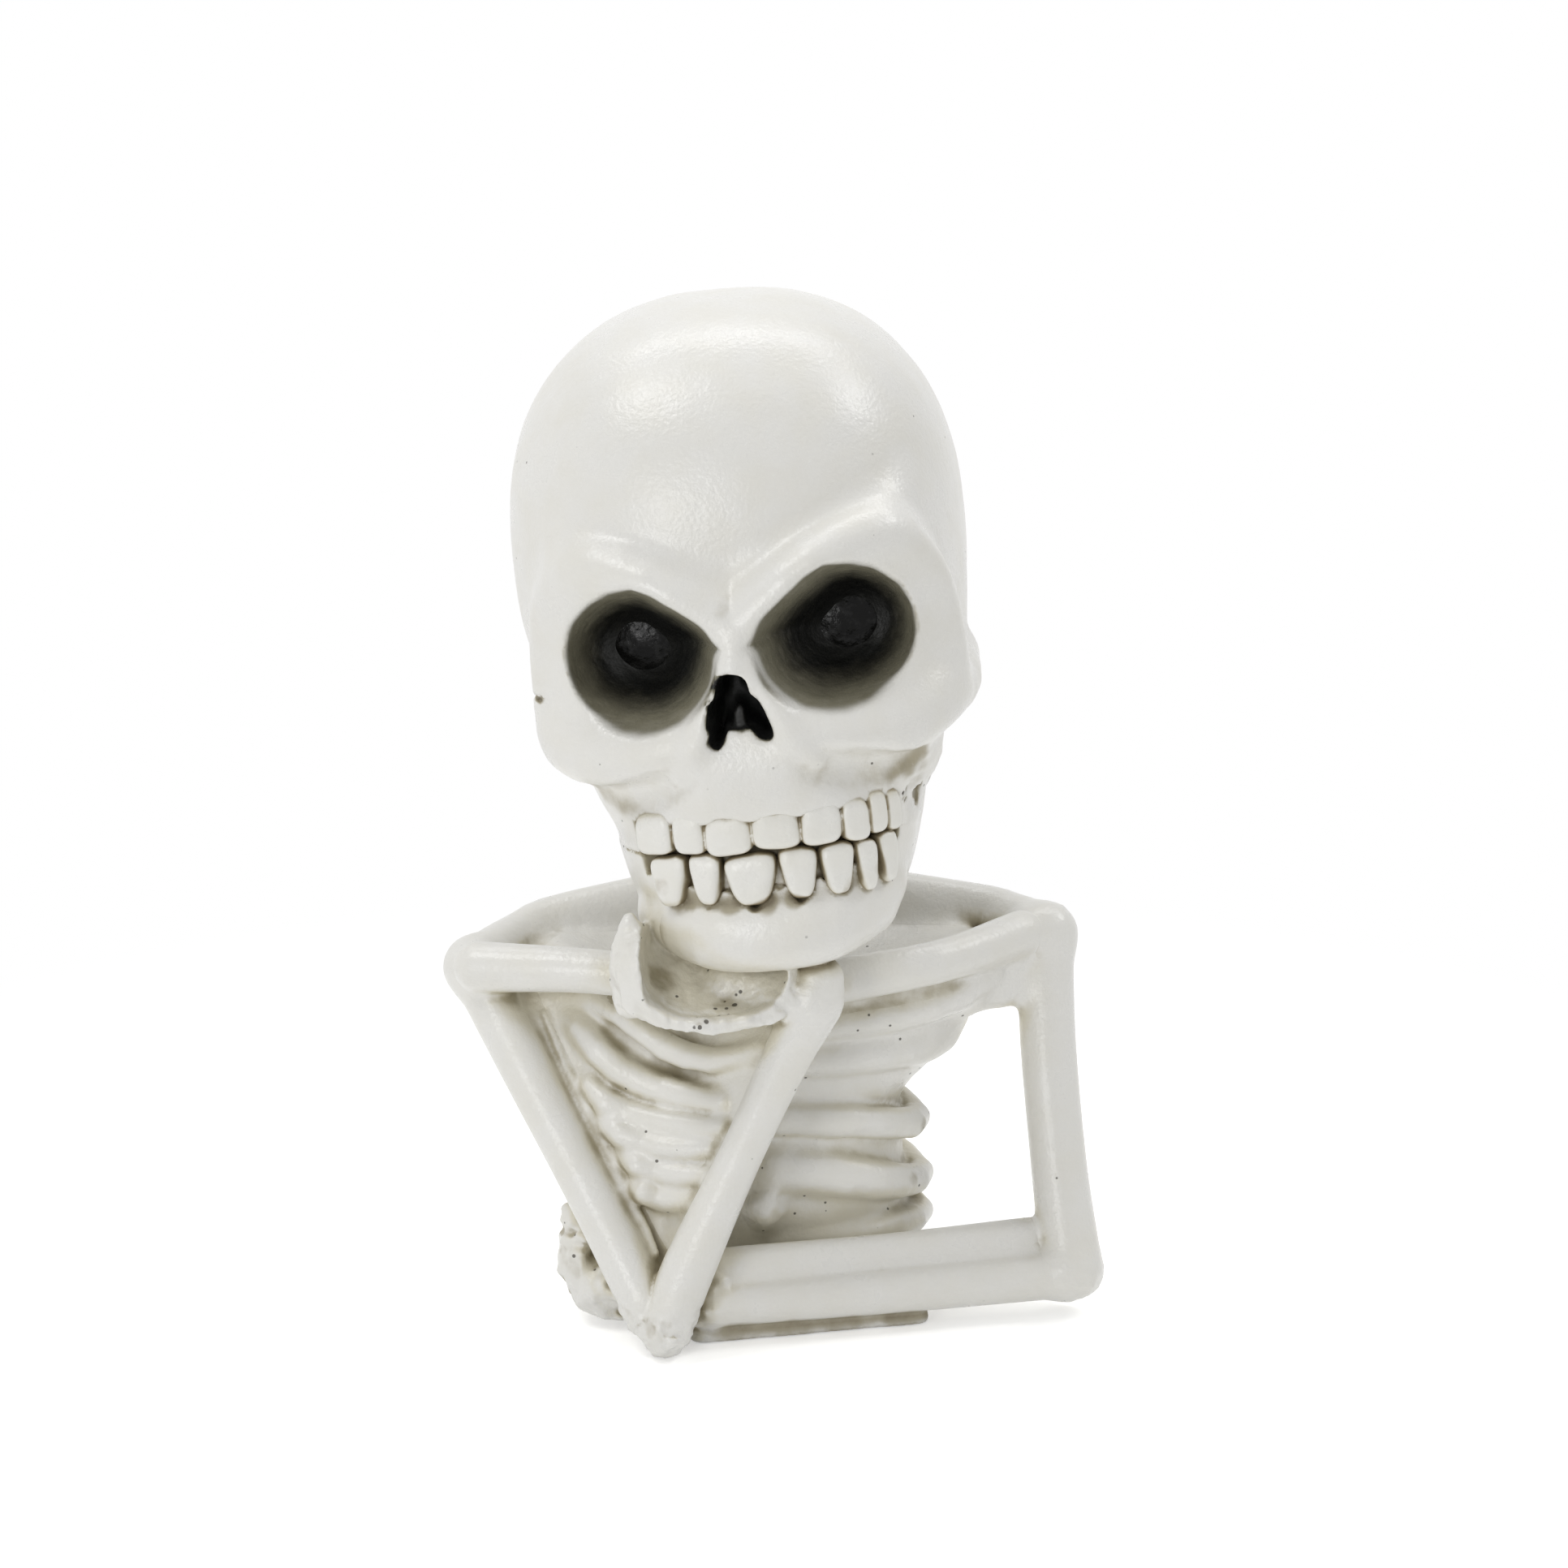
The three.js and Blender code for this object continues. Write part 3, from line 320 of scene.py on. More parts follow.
def tooth_channel(q):
    z = q[:, 2]
    turn = arch_turn(q)
    crumbs = 0.6 * grit(q, 1.3)
    roof = z - UPPER_GUM_Z + 1.0 + gum_line(turn, UPPER_EDGES, 0.35) + 0.4 * crumbs
    floor = LOWER_GUM_Z + 0.4 + GUM_RISE * q[:, 0] ** 2 - z
    floor = floor + gum_line(turn, LOWER_EDGES, 1.3) + 1.4 * crumbs
    ends = np.maximum(MOUTH_ENDS[0] - turn, turn - MOUTH_ENDS[1]) * ARCH_DEEP
    tool = np.maximum(np.maximum(roof, floor), -(arch_skin(q) + 2.7))
    return np.maximum(tool, np.maximum(ends, q[:, 1] + 17)).astype(np.float32)


print("crowns per row:", len(UPPER_EDGES) - 1, "and", len(LOWER_EDGES) - 1)

# %% [markdown]
# ## Cranium and lower jaw
# Now the masses join into two castings that meet at the mouth. Tiny waves in the surface
# come last: a hand-finished master is never quite even.

# %% Skull castings
PLATE_SHIFT = np.array([0.9, 0, 0], np.float32)
LEFT_SWEEP, RIGHT_SWEEP = 0.4, 0.05


def skull_mass(q):
    """The skull's upper part before anything is cut into it."""
    m = mirrored(q)
    lump = pebble(q, (-2.1, 4, 0), (33.4, 35, 36.4), 2.36)
    lump = blend(lump, trim(upper_face(q), MOUTH_Z + 0.1 - q[:, 2], 0.6), 6)
    lump = blend(lump, eye_frame(m, np.where(q[:, 0] > 0, LEFT_SWEEP, RIGHT_SWEEP)), 6)
    lump = blend(lump, eye_ring(m), 5)
    lump = blend(lump, cheek_arch(m), 3)
    beside = mirrored(q - PLATE_SHIFT)
    lump = blend(lump, trim(side_wall(beside), MOUTH_Z + 0.1 - q[:, 2], 0.6), 3)
    lump = blend(lump, cheek_plate(beside), 4)
    lump = carve(blend(lump, muzzle(q), 4), cheek_groove(m) + 0.8, 3.5)
    lump = blend(lump, nose_bridge(q), 2)
    return blend(lump, nose_wing(m), 1.4)


plate_cuts = [
    bar((20.6, -23.5, -30.5, 0.5), (20.2, -22.6, -36, 0.7), steps=1),
    bar((22.6, -20.2, -31, 0.45), (21.9, -19.6, -37.5, 0.6), steps=1),
    bar((24.0, -16.6, -32, 0.4), (22.8, -16.2, -38, 0.5), steps=1),
    bar((-31.8, -18, -17.0, 0.5), (-30.4, -21.6, -17.5, 0.5), (-28.8, -24.8, -18, 0.4), steps=2),
]


def cranium_clay(points):
    q = in_skull(points)
    lump = carve(skull_mass(q), eye_socket(mirrored(q)), 0.8)
    lump = carve(lump, nose_hole(q), 0.4)
    lump = carve(lump, tooth_channel(q), 0.5)
    for cut in plate_cuts:
        lump = carve(lump, cut(q) + 0.25 * grit(q, 1.2), 0.4)
    plate = ease(17, 20, q[:, 0]) * ease(-27, -30, q[:, 2])
    return lump + 0.12 * grit(q, 9.0) + 0.05 * grit(q, 4.0) + 0.22 * plate * grit(q, 1.5)


ramus = bar((13.5, -14, -49.5, 4.3), (17.8, -10, -40.5, 4.2), (19.6, -6.5, -33, 4.0), (21.4, -5, -27, 3.8))
jaw_wall = bar((17.6, -17, -40, 3.6), (15.4, -18.5, -46.5, 3.8), (10.6, -24, -52, 4.3))
gum_roll = bar((17, -22, -49.6, 2.4), (9, -30.4, -50.2, 2.6), (0, -31.8, -50.4, 2.7), steps=3)
chin = bar(
    (-14, -23, -51.5, 4.2), (-8, -29, -53, 4.8), (0, -30.6, -53.4, 4.9), (8, -29, -53, 4.8),
    (14, -23, -51.5, 4.2),
)


def jaw_clay(points):
    q = in_skull(points)
    lump = trim(upper_face(q), q[:, 2] - MOUTH_Z + 0.1, 0.6)
    m = mirrored(q)
    lump = blend(lump, trim(jaw_wall(m), q[:, 2] - MOUTH_Z + 0.1, 0.6), 3)
    lump = blend(lump, ramus(m), 4)
    lump = blend(blend(lump, chin(q), 3), gum_roll(m), 2.5)
    lump = carve(lump, tooth_channel(q), 0.5)
    return lump + 0.12 * grit(q, 7.0)


# %% [markdown]
# ## Crowns
# Each crown is a rounded block turned to face outwards on the arch. The upper ones are
# nearly square and the lower ones narrow towards the gum like shields. Their roots run
# into the gum, and a band behind joins a row into one piece.

# %% Tooth rows
def arch_point(turn, inset):
    size = abs(math.sin(turn)) ** ARCH_POWER + abs(math.cos(turn)) ** ARCH_POWER
    reach = size ** (-1 / ARCH_POWER)
    return np.array([
        (ARCH_WIDE - inset) * reach * math.sin(turn),
        ARCH_MIDDLE - (ARCH_DEEP - inset) * reach * math.cos(turn),
    ])


CROWN_STEP, CROWN_LEAN = 0.25, 0.06


def tooth_row(points, edges, low, high, taper, gum_side, inset):
    q = in_skull(points)
    row = np.maximum(np.abs(arch_skin(q) + 3.0) - 0.9, np.abs(q[:, 2] - (low + high) / 2) - 2)
    turn = arch_turn(q)
    row = np.maximum(row, ARCH_DEEP * np.maximum(edges[0] - turn, turn - edges[-1]))
    for number, (left, right) in enumerate(zip(edges[:-1], edges[1:])):
        middle = (left + right) / 2
        wide = np.linalg.norm(arch_point(right, 0) - arch_point(left, 0)) / 2
        at = arch_point(middle, inset)
        along = arch_point(right, 0) - arch_point(left, 0)
        along /= np.linalg.norm(along)
        local = q[:, :2] - at.astype(np.float32)
        across = local @ along.astype(np.float32)
        out = local @ np.array([along[1], -along[0]], np.float32)
        up = q[:, 2] - (low + high) / 2 - CROWN_STEP * math.sin(number * 2.3)
        up = up - CROWN_LEAN * math.cos(number * 3.1) * across
        narrow = 1 - taper * np.clip(0.5 + gum_side * up / (high - low), 0, 1.2)
        crown = np.stack([across / narrow, out, up], 1)
        half = (wide + 0.16, 1.9, (high - low) / 2)
        row = np.minimum(row, pebble(crown, (0, 0, 0), half, 3.6))
    return (row + 0.07 * grit(q, 1.8)).astype(np.float32)


def upper_teeth_clay(points):
    return tooth_row(points, UPPER_EDGES, MOUTH_Z, UPPER_GUM_Z + 0.3, 0.1, 1, 0.9)


def lower_teeth_clay(points):
    return tooth_row(points, LOWER_EDGES, LOWER_GUM_Z - 0.6, MOUTH_Z, 0.46, -1, 1.2)


def bead_clay(side):
    """The dark boss at the bottom of a socket, lumpy where the black paint pooled."""
    def distance(points):
        q = in_skull(points)
        return pebble(q, (side * 13.6, -14.8, -10.9), (8.4, 4.4, 8.2)) + 0.12 * grit(q, 1.4)
    return distance


# %% [markdown]
# ## Long bones
# The arms come before the trunk, because the trunk has to keep clear of them. Each long
# bone thins a little at the middle and swells at its ends.

# %% Arms
RIGHT_SHOULDER, RIGHT_ELBOW = np.array([-42.9, -7, 51.5]), np.array([-15.4, -33, 4.6])
RIGHT_WRIST = np.array([7.2, -29.5, 53.5])
LEFT_SHOULDER, LEFT_ELBOW = np.array([42.4, 3, 53.5]), np.array([46.2, -15, 6.3])
LEFT_WRIST = np.array([-7, -27.5, 5.8])
right_humerus = bar(
    (*RIGHT_SHOULDER, 4.2), (-36, -13.8, 39.4, 3.9), (-26, -23.1, 22.6, 3.7),
    (-18.7, -29.9, 10, 3.9), (-16.4, -31.6, 5.8, 4.0),
)
right_forearm = bar(
    (-14.4, -33.5, 4.1, 3.9), (-10.9, -32.5, 13.6, 3.9), (-3.5, -31.2, 30, 3.2),
    (3.2, -30.2, 44.8, 3.5), (7.0, -29.6, 53, 4.3), (7.9, -29.2, 56.7, 3.8),
)
left_humerus = bar(
    (*LEFT_SHOULDER, 4.2), (42.7, -3.4, 38.8, 4.2), (44.2, -9.2, 22, 4.2),
    (45.6, -13.2, 10.8, 4.5), (46.2, -15, 6.6, 4.8),
)
elbow_crease = bar((44.4, -20.4, 9.6, 0.5), (47.4, -20.6, 6.6, 0.7), (48.6, -19.2, 3.0, 0.5))


def chipped(points):
    """Crumbs that roughen the ends of bones near the table."""
    return (0.5 * grit(points, 1.9) + 0.4 * grit(points, 0.9)) * ease(10, 4, points[:, 2])


def right_humerus_clay(points):
    return right_humerus(points) + 1.2 * chipped(points)


def right_forearm_clay(points):
    return right_forearm(points) + chipped(points)


def left_humerus_clay(points):
    return carve(left_humerus(points), elbow_crease(points), 0.8) + 0.5 * chipped(points)


ulna = bar((44, -15.6, 5.8, 3.6), (20, -21.4, 5.6, 3.4), (*LEFT_WRIST, 3.4))
bone_strip = bar((40, -14.4, 8.2, 2.0), (18, -19.4, 8.0, 2.0), (-6, -25.8, 8.2, 2.1))


def ulna_clay(points):
    return blend(ulna(points), bone_strip(points), 1.0)


radius_clay = bar(
    (39.3, -12.8, 11, 2.7), (18, -18, 10.7, 2.4), (-2.9, -23.8, 10.8, 2.6), (-8, -25, 10.4, 2.6),
)

# %% [markdown]
# ## Rib cage
# The ribs on the two sides run differently: on the figure's right they hang down towards
# the breastbone like swags, on its left they drop towards the flank. Each rib is a rod
# laid on the chest wall, half sunk into it. Webs of resin, left by the mould, fill the
# space behind both bones of the right arm, and the swags run on over them.

# %% Trunk
CHEST_LEVELS, CHEST_WIDTHS = (2.9, 28.5, 42.5, 49.5, 55.5), (22.6, 20.5, 31, 35, 31.5)
CHEST_DEEP_LEVELS, CHEST_DEPTHS = (28.5, 48.5, 55.5), (15, 17.5, 14.5)


def stations(value, places, sizes):
    """Reads a size along a length, with a smooth step between neighbouring stations."""
    size = np.full(len(value), sizes[0], np.float32)
    for low, high, before, after in zip(places, places[1:], sizes, sizes[1:]):
        size = size + (after - before) * ease(low, high, value)
    return size


def on_wall(side, turn, height, proud, thick):
    """A knot of a rib at an angle from the front, standing proud of the chest wall."""
    wide = np.interp(height, CHEST_LEVELS, CHEST_WIDTHS) + proud - thick
    deep = np.interp(height, CHEST_DEEP_LEVELS, CHEST_DEPTHS) + proud - thick
    angle = math.radians(turn)
    return (side * wide * math.sin(angle), -deep * math.cos(angle), height, thick)


LEFT_TURNS = (6, 35, 62, 90, 130, 165)
LEFT_RIBS = [
    # thickness at the front and at the flank, how proud there, and the height at each turn
    ((2.0, 2.8), (1.7, 2.0), (45.0, 46.0, 47.6, 50.6, 51, 51)),
    ((2.6, 2.8), (2.5, 0.6), (40.0, 39.7, 39.4, 40, 41, 43)),
    ((2.6, 2.3), (2.4, 4.4), (30.5, 29.4, 27.0, 25.4, 27.5, 30)),
    ((4.0, 2.1), (2.6, 4.4), (22.2, 20.5, 17.8, 16.4, 18.5, 21)),
    ((2.4, 2.2), (0.2, 3.8), (9.6, 10.0, 10.6, 10.4, 12.5, 14.5)),
]
RIGHT_RIBS = [
    # knots over the front, then the heights at the flank and beside the spine
    ((0, -25.5, 44.7, 1.6), (-7.5, -22.3, 42.1, 1.9), (-14.4, -18.5, 42.8, 2),
     (-21, -15.7, 47, 1.8), 50.5, 51.5),
    ((-6, -24.3, 36, 1.8), (-15, -18.8, 36.2, 2.4), (-21.3, -16.7, 38.8, 2.4),
     (-27, -12.6, 43.7, 2.2), 46, 47),
    ((-6, -26.4, 33, 1.6), (-13.8, -22.1, 32.1, 2), (-20.1, -18.9, 32.8, 2.1),
     (-25.6, -16.1, 35.4, 2), 38.5, 40),
    ((-8, -26.4, 29.7, 1.5), (-13, -24.3, 29, 1.8), (-17.5, -22.1, 29.2, 1.9),
     (-23.6, -18.4, 31, 1.9), 32.5, 34),
    ((-8, -27.4, 25.7, 1.6), (-12, -25.5, 25.2, 1.8), (-15.5, -23.5, 25.2, 1.9),
     (-20.8, -20.4, 26.8, 1.8), 26.5, 28),
    ((-10.5, -26.7, 21.8, 1.6), (-13, -25.4, 21.4, 1.9), (-15.5, -24.2, 21.4, 2.0),
     (-19.4, -21.9, 22.6, 1.8), 20.5, 22),
]
ribs = []
for thicks, prouds, heights in LEFT_RIBS:
    thicks = np.interp(LEFT_TURNS, (10, 90), thicks)
    prouds = np.interp(LEFT_TURNS, (0, 90, 165), (*prouds, prouds[0]))
    ribs.append(bar(*[on_wall(1, *knot) for knot in zip(LEFT_TURNS, heights, prouds, thicks)], steps=2))
for *front, flank_height, back_height in RIGHT_RIBS:
    heights = np.interp((100, 132, 165), (100, 165), (flank_height, back_height))
    round_back = [on_wall(-1, turn, height, 1.6, 2.0) for turn, height in zip((100, 132, 165), heights)]
    ribs.append(bar(*front, *round_back, steps=2))


def web(near_ends, far_ends, half):
    """A sheet of resin between two straight edges, found by sliding to and fro across it."""
    a0, a1, b0, b1 = (np.asarray(c, np.float32) for c in (*near_ends, *far_ends))

    def slide(points, start, end):
        run = end - start
        share = ((points - start) * run).sum(1) / (run * run).sum(1)
        return np.clip(share, 0, 1)[:, None]

    def distance(points):
        length = np.full((len(points), 1), 0.5, np.float32)
        for _ in range(4):
            across = slide(points, a0 + (a1 - a0) * length, b0 + (b1 - b0) * length)
            low, high = a0 + (b0 - a0) * across, a1 + (b1 - a1) * across
            length = slide(points, low, high)
        off = points - (low + (high - low) * length)
        return np.sqrt((off * off).sum(1)) - half

    return distance


def behind(start, end, share):
    """A place along a bone, moved back to where a web meets it."""
    return start + (end - start) * share + np.array([0, 3.2, 0])


arm_web = web(
    (behind(RIGHT_SHOULDER, RIGHT_ELBOW, 0.1), behind(RIGHT_SHOULDER, RIGHT_ELBOW, 0.9)),
    ((-14, -13.5, 46), (-13.2, -25, 9)), 1.8,
)
wrist_web = web(
    (behind(RIGHT_ELBOW, RIGHT_WRIST, 0.9), behind(RIGHT_ELBOW, RIGHT_WRIST, 0.12)),
    ((-8, -15, 47), (-13.2, -25, 9)), 2.0,
)
flash_ridge = bar(
    (-32.5, -10.8, 45.2, 0.5), (-29.4, -14.2, 38.2, 0.7), (-26.7, -17.2, 33.9, 0.7),
    (-23.5, -20.2, 28.3, 0.7), (-20.6, -23, 22.7, 0.7), (-17.2, -25.8, 16.8, 0.5),
    (-15.6, -28.4, 14, 0.2), steps=2,
)
armpit_web = web(
    (LEFT_SHOULDER, LEFT_SHOULDER + (LEFT_ELBOW - LEFT_SHOULDER) * 0.15),
    ((30, -5, 52), (30, -5, 46)), 2.4,
)


def rib_cage_clay(points):
    x, y, z = points.T
    wide = stations(z, CHEST_LEVELS, CHEST_WIDTHS)
    deep = stations(z, CHEST_DEEP_LEVELS, CHEST_DEPTHS)
    reach = np.sqrt((x / wide) ** 2 + (y / deep) ** 2) + 1e-6
    slope = np.sqrt((x / wide**2) ** 2 + (y / deep**2) ** 2) / reach + 1e-6
    lump = trim((reach - 1) / slope, z - 55, 3)
    lump = blend(lump, arm_web(points), 4)
    lump = blend(lump, wrist_web(points), 3)
    lump = blend(lump, armpit_web(points), 3)
    for rib in ribs:
        lump = blend(lump, rib(points), 1.4)
    lump = blend(lump, flash_ridge(points), 0.7)
    hollow = pebble(points, (0, 2.5, 59.5), (34, 14.5, 9.8), 2.4)
    neck_mound = pebble(points, (-0.5, 10, 48.5), (9.2, 10, 7))
    lump = blend(carve(lump, hollow, 3), neck_mound, 4)
    lump = trim(lump, 2.9 - z, 0.6)
    knob = pebble(points, (-0.2, -16.3, 16.2), (2.4, 2.2, 2.3)) + 0.4 * grit(points, 1.6)
    return blend(lump, knob, 3.6) + 0.15 * grit(points, 5.0) + 0.08 * grit(points, 2.0)


# %% [markdown]
# ## Shoulder ring
# A ridge wraps both shoulders from behind, and two collar bones close the ring in front.
# Between them lies the hollow from which the neck rises.

# %% Yoke, collar bones and neck
yoke_clay = bar(
    (*RIGHT_SHOULDER, 4.4), (-37.2, 4.2, 52.5, 3.7), (-29.4, 11.6, 53.9, 3.5), (0, 20.5, 56.1, 3.8),
    (30.4, 13.8, 54.7, 3.6), (38, 8.8, 54.1, 3.8), (*LEFT_SHOULDER, 4.4),
)
right_collar_clay = bar((-4.7, -20, 52.5, 3.5), (-25.1, -17.2, 54.1, 3.3), (-42.2, -11.4, 52.9, 3.8))
left_collar_clay = bar((4.7, -20, 52.5, 3.5), (25.1, -13.2, 54.1, 3.2), (38.6, -0.4, 54.7, 3.4))
NECK_BONE = 7.4
neck_core = bar((0, 9, 44.5, 6.0), (-0.6, 10, 58.5, 5.6), (-1.9, 11.7, 82.5, 6.2))
neck_spine = bar((0, 14, 46, 2.6), (-0.6, 15.4, 60, 2.4), (-1.9, 17, 80, 2.4))


def neck_clay(points):
    """A stack of neck bones: swells and waists, with a row of knobs down the back."""
    swell = np.cos(points[:, 2] * (2 * np.pi / NECK_BONE))
    lump = blend(neck_core(points) - 0.7 * swell, neck_spine(points) - 1.0 * swell, 2.0)
    return lump + 0.15 * grit(points, 3.0)

# %% [markdown]
# ## Hands
# The right hand is a cupped palm whose fingers have broken away, so its rim is rough, and
# the left hand is little more than a lump behind the elbow.

# %% Hands
PALM = np.array([-8.3, -28.5, 58.1])
finger_stump = bar((-19.4, -29, 53.6, 2.6), (-20, -28.6, 59.6, 2.3), (-19.4, -27.8, 65.4, 1.0))
palm_heel = bar((*RIGHT_WRIST, 4.2), (-4.3, -25, 55.1, 4.4))
palm_lip = bar(
    (-18.6, -32.6, 54.6, 1.6), (-14, -34.6, 52.2, 1.1), (-7, -35.2, 51.6, 1.0), (0, -33.8, 52.4, 1.1),
    (4, -32.4, 53.6, 1.2),
)


def right_hand_clay(points):
    rough = grit(points, 2.4) + 0.5 * grit(points, 1.1)
    lump = pebble(points, PALM, (13.5, 9, 8), 2.4) + 0.35 * rough
    sloped = points.copy()
    sloped[:, 2] -= 0.3 * (points[:, 1] + 30)
    scoop = pebble(sloped, PALM + (1.2, -4, 3.8), (10.6, 9.5, 8.2), 2.8) + 0.25 * rough
    lump = carve(lump, scoop, 0.8)
    lump = blend(lump, finger_stump(points) + 0.35 * rough, 1.5)
    lump = blend(lump, palm_heel(points), 2)
    return blend(lump, palm_lip(points) + 0.5 * rough, 1.2) + 0.1 * grit(points, 0.7)


fist = bar((-8, -26.5, 6.5, 4.0), (-18, -22, 6.5, 4.2), (-26, -18.5, 5.6, 3.8), (-27.6, -15.8, 14, 3.2))


def left_hand_clay(points):
    return fist(points) + 1.1 * grit(points, 3.2) + 0.7 * grit(points, 1.5)


# %% [markdown]
# ## Base
# The bust stands on a thin plate. A skirt of the same casting runs under the left
# forearm and stops in a step about two thirds along.

# %% Base plate
skirt = bar((-9, -26.9, 0.6, 2.0), (22.6, -19.4, 0.6, 2.0), steps=1)


def base_clay(points):
    z = points[:, 2]
    plate = pebble(points * np.array([1, 1, 0.001], np.float32), (0, 0, 0), (26, 18, 1e3))
    lump = blend(plate, skirt(points), 2) + 0.25 * grit(points, 4.0)
    return trim(trim(lump, z - 4.4, 1.0), 0.02 - z, 0.3)


# %% [markdown]
# ## Which lumps touch
# Neighbouring castings are sculpted as one clay body and then parted where the two
# distances are equal. So the fillets run on across a seam. Past the seam each casting dips
# under its neighbour and ends a millimetre further on, so no slit opens between them. The
# list says who touches whom.

# %% Castings and neighbours
CLAY = {
    "cranium": cranium_clay, "lower_jaw": jaw_clay,
    "upper_teeth": upper_teeth_clay, "lower_teeth": lower_teeth_clay,
    "right_eye_bead": bead_clay(-1), "left_eye_bead": bead_clay(1),
    "neck_column": neck_clay, "rib_cage": rib_cage_clay, "shoulder_yoke": yoke_clay,
    "right_clavicle": right_collar_clay, "left_clavicle": left_collar_clay,
    "right_upper_arm": right_humerus_clay, "right_forearm": right_forearm_clay,
    "right_hand": right_hand_clay, "left_upper_arm": left_humerus_clay,
    "left_ulna": ulna_clay, "left_radius": radius_clay, "left_hand": left_hand_clay,
    "base_plate": base_clay,
}
TOUCHING = {
    "cranium": {"lower_jaw": 0.6, "neck_column": 1.0},
    "lower_jaw": {"cranium": 0.6, "right_hand": 0.6, "right_forearm": 0.6},
    "upper_teeth": {}, "lower_teeth": {}, "right_eye_bead": {}, "left_eye_bead": {},
    "neck_column": {"rib_cage": 2.5, "cranium": 1.0},
    "rib_cage": {
        "neck_column": 2.5, "shoulder_yoke": 4.0, "right_clavicle": 2.2, "left_clavicle": 2.2,
        "right_upper_arm": 2.0, "right_forearm": 1.6, "left_radius": 1.6, "left_ulna": 1.6,
        "left_hand": 1.0, "base_plate": 1.0, "right_hand": 0.8, "left_upper_arm": 2.0,
    },
    "shoulder_yoke": {
        "rib_cage": 4.0, "right_clavicle": 0.9, "left_clavicle": 0.9,
        "right_upper_arm": 2.5, "left_upper_arm": 2.5,
    },
    "right_clavicle": {"rib_cage": 2.2, "shoulder_yoke": 0.9, "right_upper_arm": 1.5, "right_hand": 0.8},
    "left_clavicle": {"rib_cage": 2.2, "shoulder_yoke": 0.9, "left_upper_arm": 1.5, "right_hand": 0.8},
    "right_upper_arm": {
        "shoulder_yoke": 2.5, "right_clavicle": 1.5, "rib_cage": 2.0, "right_forearm": 0.4,
        "left_hand": 1.0, "base_plate": 0.8,
    },
    "right_forearm": {
        "right_upper_arm": 0.4, "rib_cage": 1.6, "right_hand": 0.8, "lower_jaw": 0.6,
        "left_hand": 1.0, "left_ulna": 1.0, "left_radius": 1.0, "base_plate": 0.8,
    },
    "right_hand": {
        "right_forearm": 0.8, "lower_jaw": 0.6, "rib_cage": 0.8, "right_clavicle": 0.8, "left_clavicle": 0.8,
    },
    "left_upper_arm": {
        "shoulder_yoke": 2.5, "left_clavicle": 1.5, "left_ulna": 2.0, "left_radius": 1.6, "rib_cage": 2.0,
    },
    "left_ulna": {
        "left_upper_arm": 2.0, "left_radius": 2.4, "left_hand": 1.0, "rib_cage": 1.6,
        "base_plate": 1.2, "right_forearm": 1.0,
    },
    "left_radius": {
        "left_upper_arm": 1.6, "left_ulna": 2.4, "rib_cage": 1.6, "right_forearm": 1.0, "left_hand": 1.0,
    },
    "left_hand": {
        "left_ulna": 1.0, "left_radius": 1.0, "rib_cage": 1.0, "right_upper_arm": 1.0,
        "right_forearm": 1.0, "base_plate": 1.0,
    },
    "base_plate": {
        "rib_cage": 1.0, "left_ulna": 1.2, "left_hand": 1.0, "right_upper_arm": 0.8, "right_forearm": 0.8,
    },
}
BOXES = {name: [np.array(corner) * 1000 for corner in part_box(name)] for name in CLAY}
CLAIM = {
    "right_clavicle": 2.5, "left_clavicle": 2.5, "right_upper_arm": 2.5, "left_upper_arm": 2.5,
    "right_forearm": 2.5, "right_hand": 2.0, "left_ulna": 2.0, "left_radius": 2.0, "shoulder_yoke": 2.5,
}
SEAM_DIP, SEAM_LAP = 0.4, 1.0
NEAR, BOX_MARGIN = 8, 5


def reach_of(name, points):
    """Distance to a lump, measured only where it could matter."""
    low, high = BOXES[name]
    close = ((points > low - NEAR) & (points < high + NEAR)).all(1)
    out = np.full(len(points), 1e3, np.float32)
    if close.any():
        out[close] = CLAY[name](points[close])
    return out


def casting(name, cut=True):
    """Distance to one casting of the shared clay body, or to the body before it is cut."""
    others = TOUCHING[name]

    def distance(points):
        mine = CLAY[name](points)
        whole, rival = mine, np.full(len(points), 1e3, np.float32)
        for other, soft in others.items():
            theirs = reach_of(other, points)
            whole = blend(whole, theirs, soft)
            rival = np.minimum(rival, theirs - CLAIM.get(other, 0))
        seam = 0.5 * (mine - CLAIM.get(name, 0) - rival)
        under = whole + SEAM_DIP * np.maximum(seam, 0)
        return np.maximum(under, seam - SEAM_LAP) if cut and others else whole

    return distance


print("castings:", len(CLAY), "and contacts:", sum(map(len, TOUCHING.values())) // 2)

# %% [markdown]
# ## From distance to skin
# Space round a casting is cut into small cells. Each cell that the surface crosses gets
# one corner point, and each grid edge that it crosses gets one face, which gives clean
# squares instead of slivers. The points then slide along the slope onto the true surface.
# Only cells near the skin are measured finely, after a coarse look with wide steps.

# %% Skin a casting
CHUNK = 30000
workers = ThreadPoolExecutor(4)


def measure(distance, points):
    """Runs a distance function over many points, in chunks that the cores share."""
    chunks = [points[start:start + CHUNK] for start in range(0, len(points), CHUNK)]
    return np.concatenate(list(workers.map(distance, chunks)))


def grid_points(low, grain, index):
    return (low + grain * index).astype(np.float32)


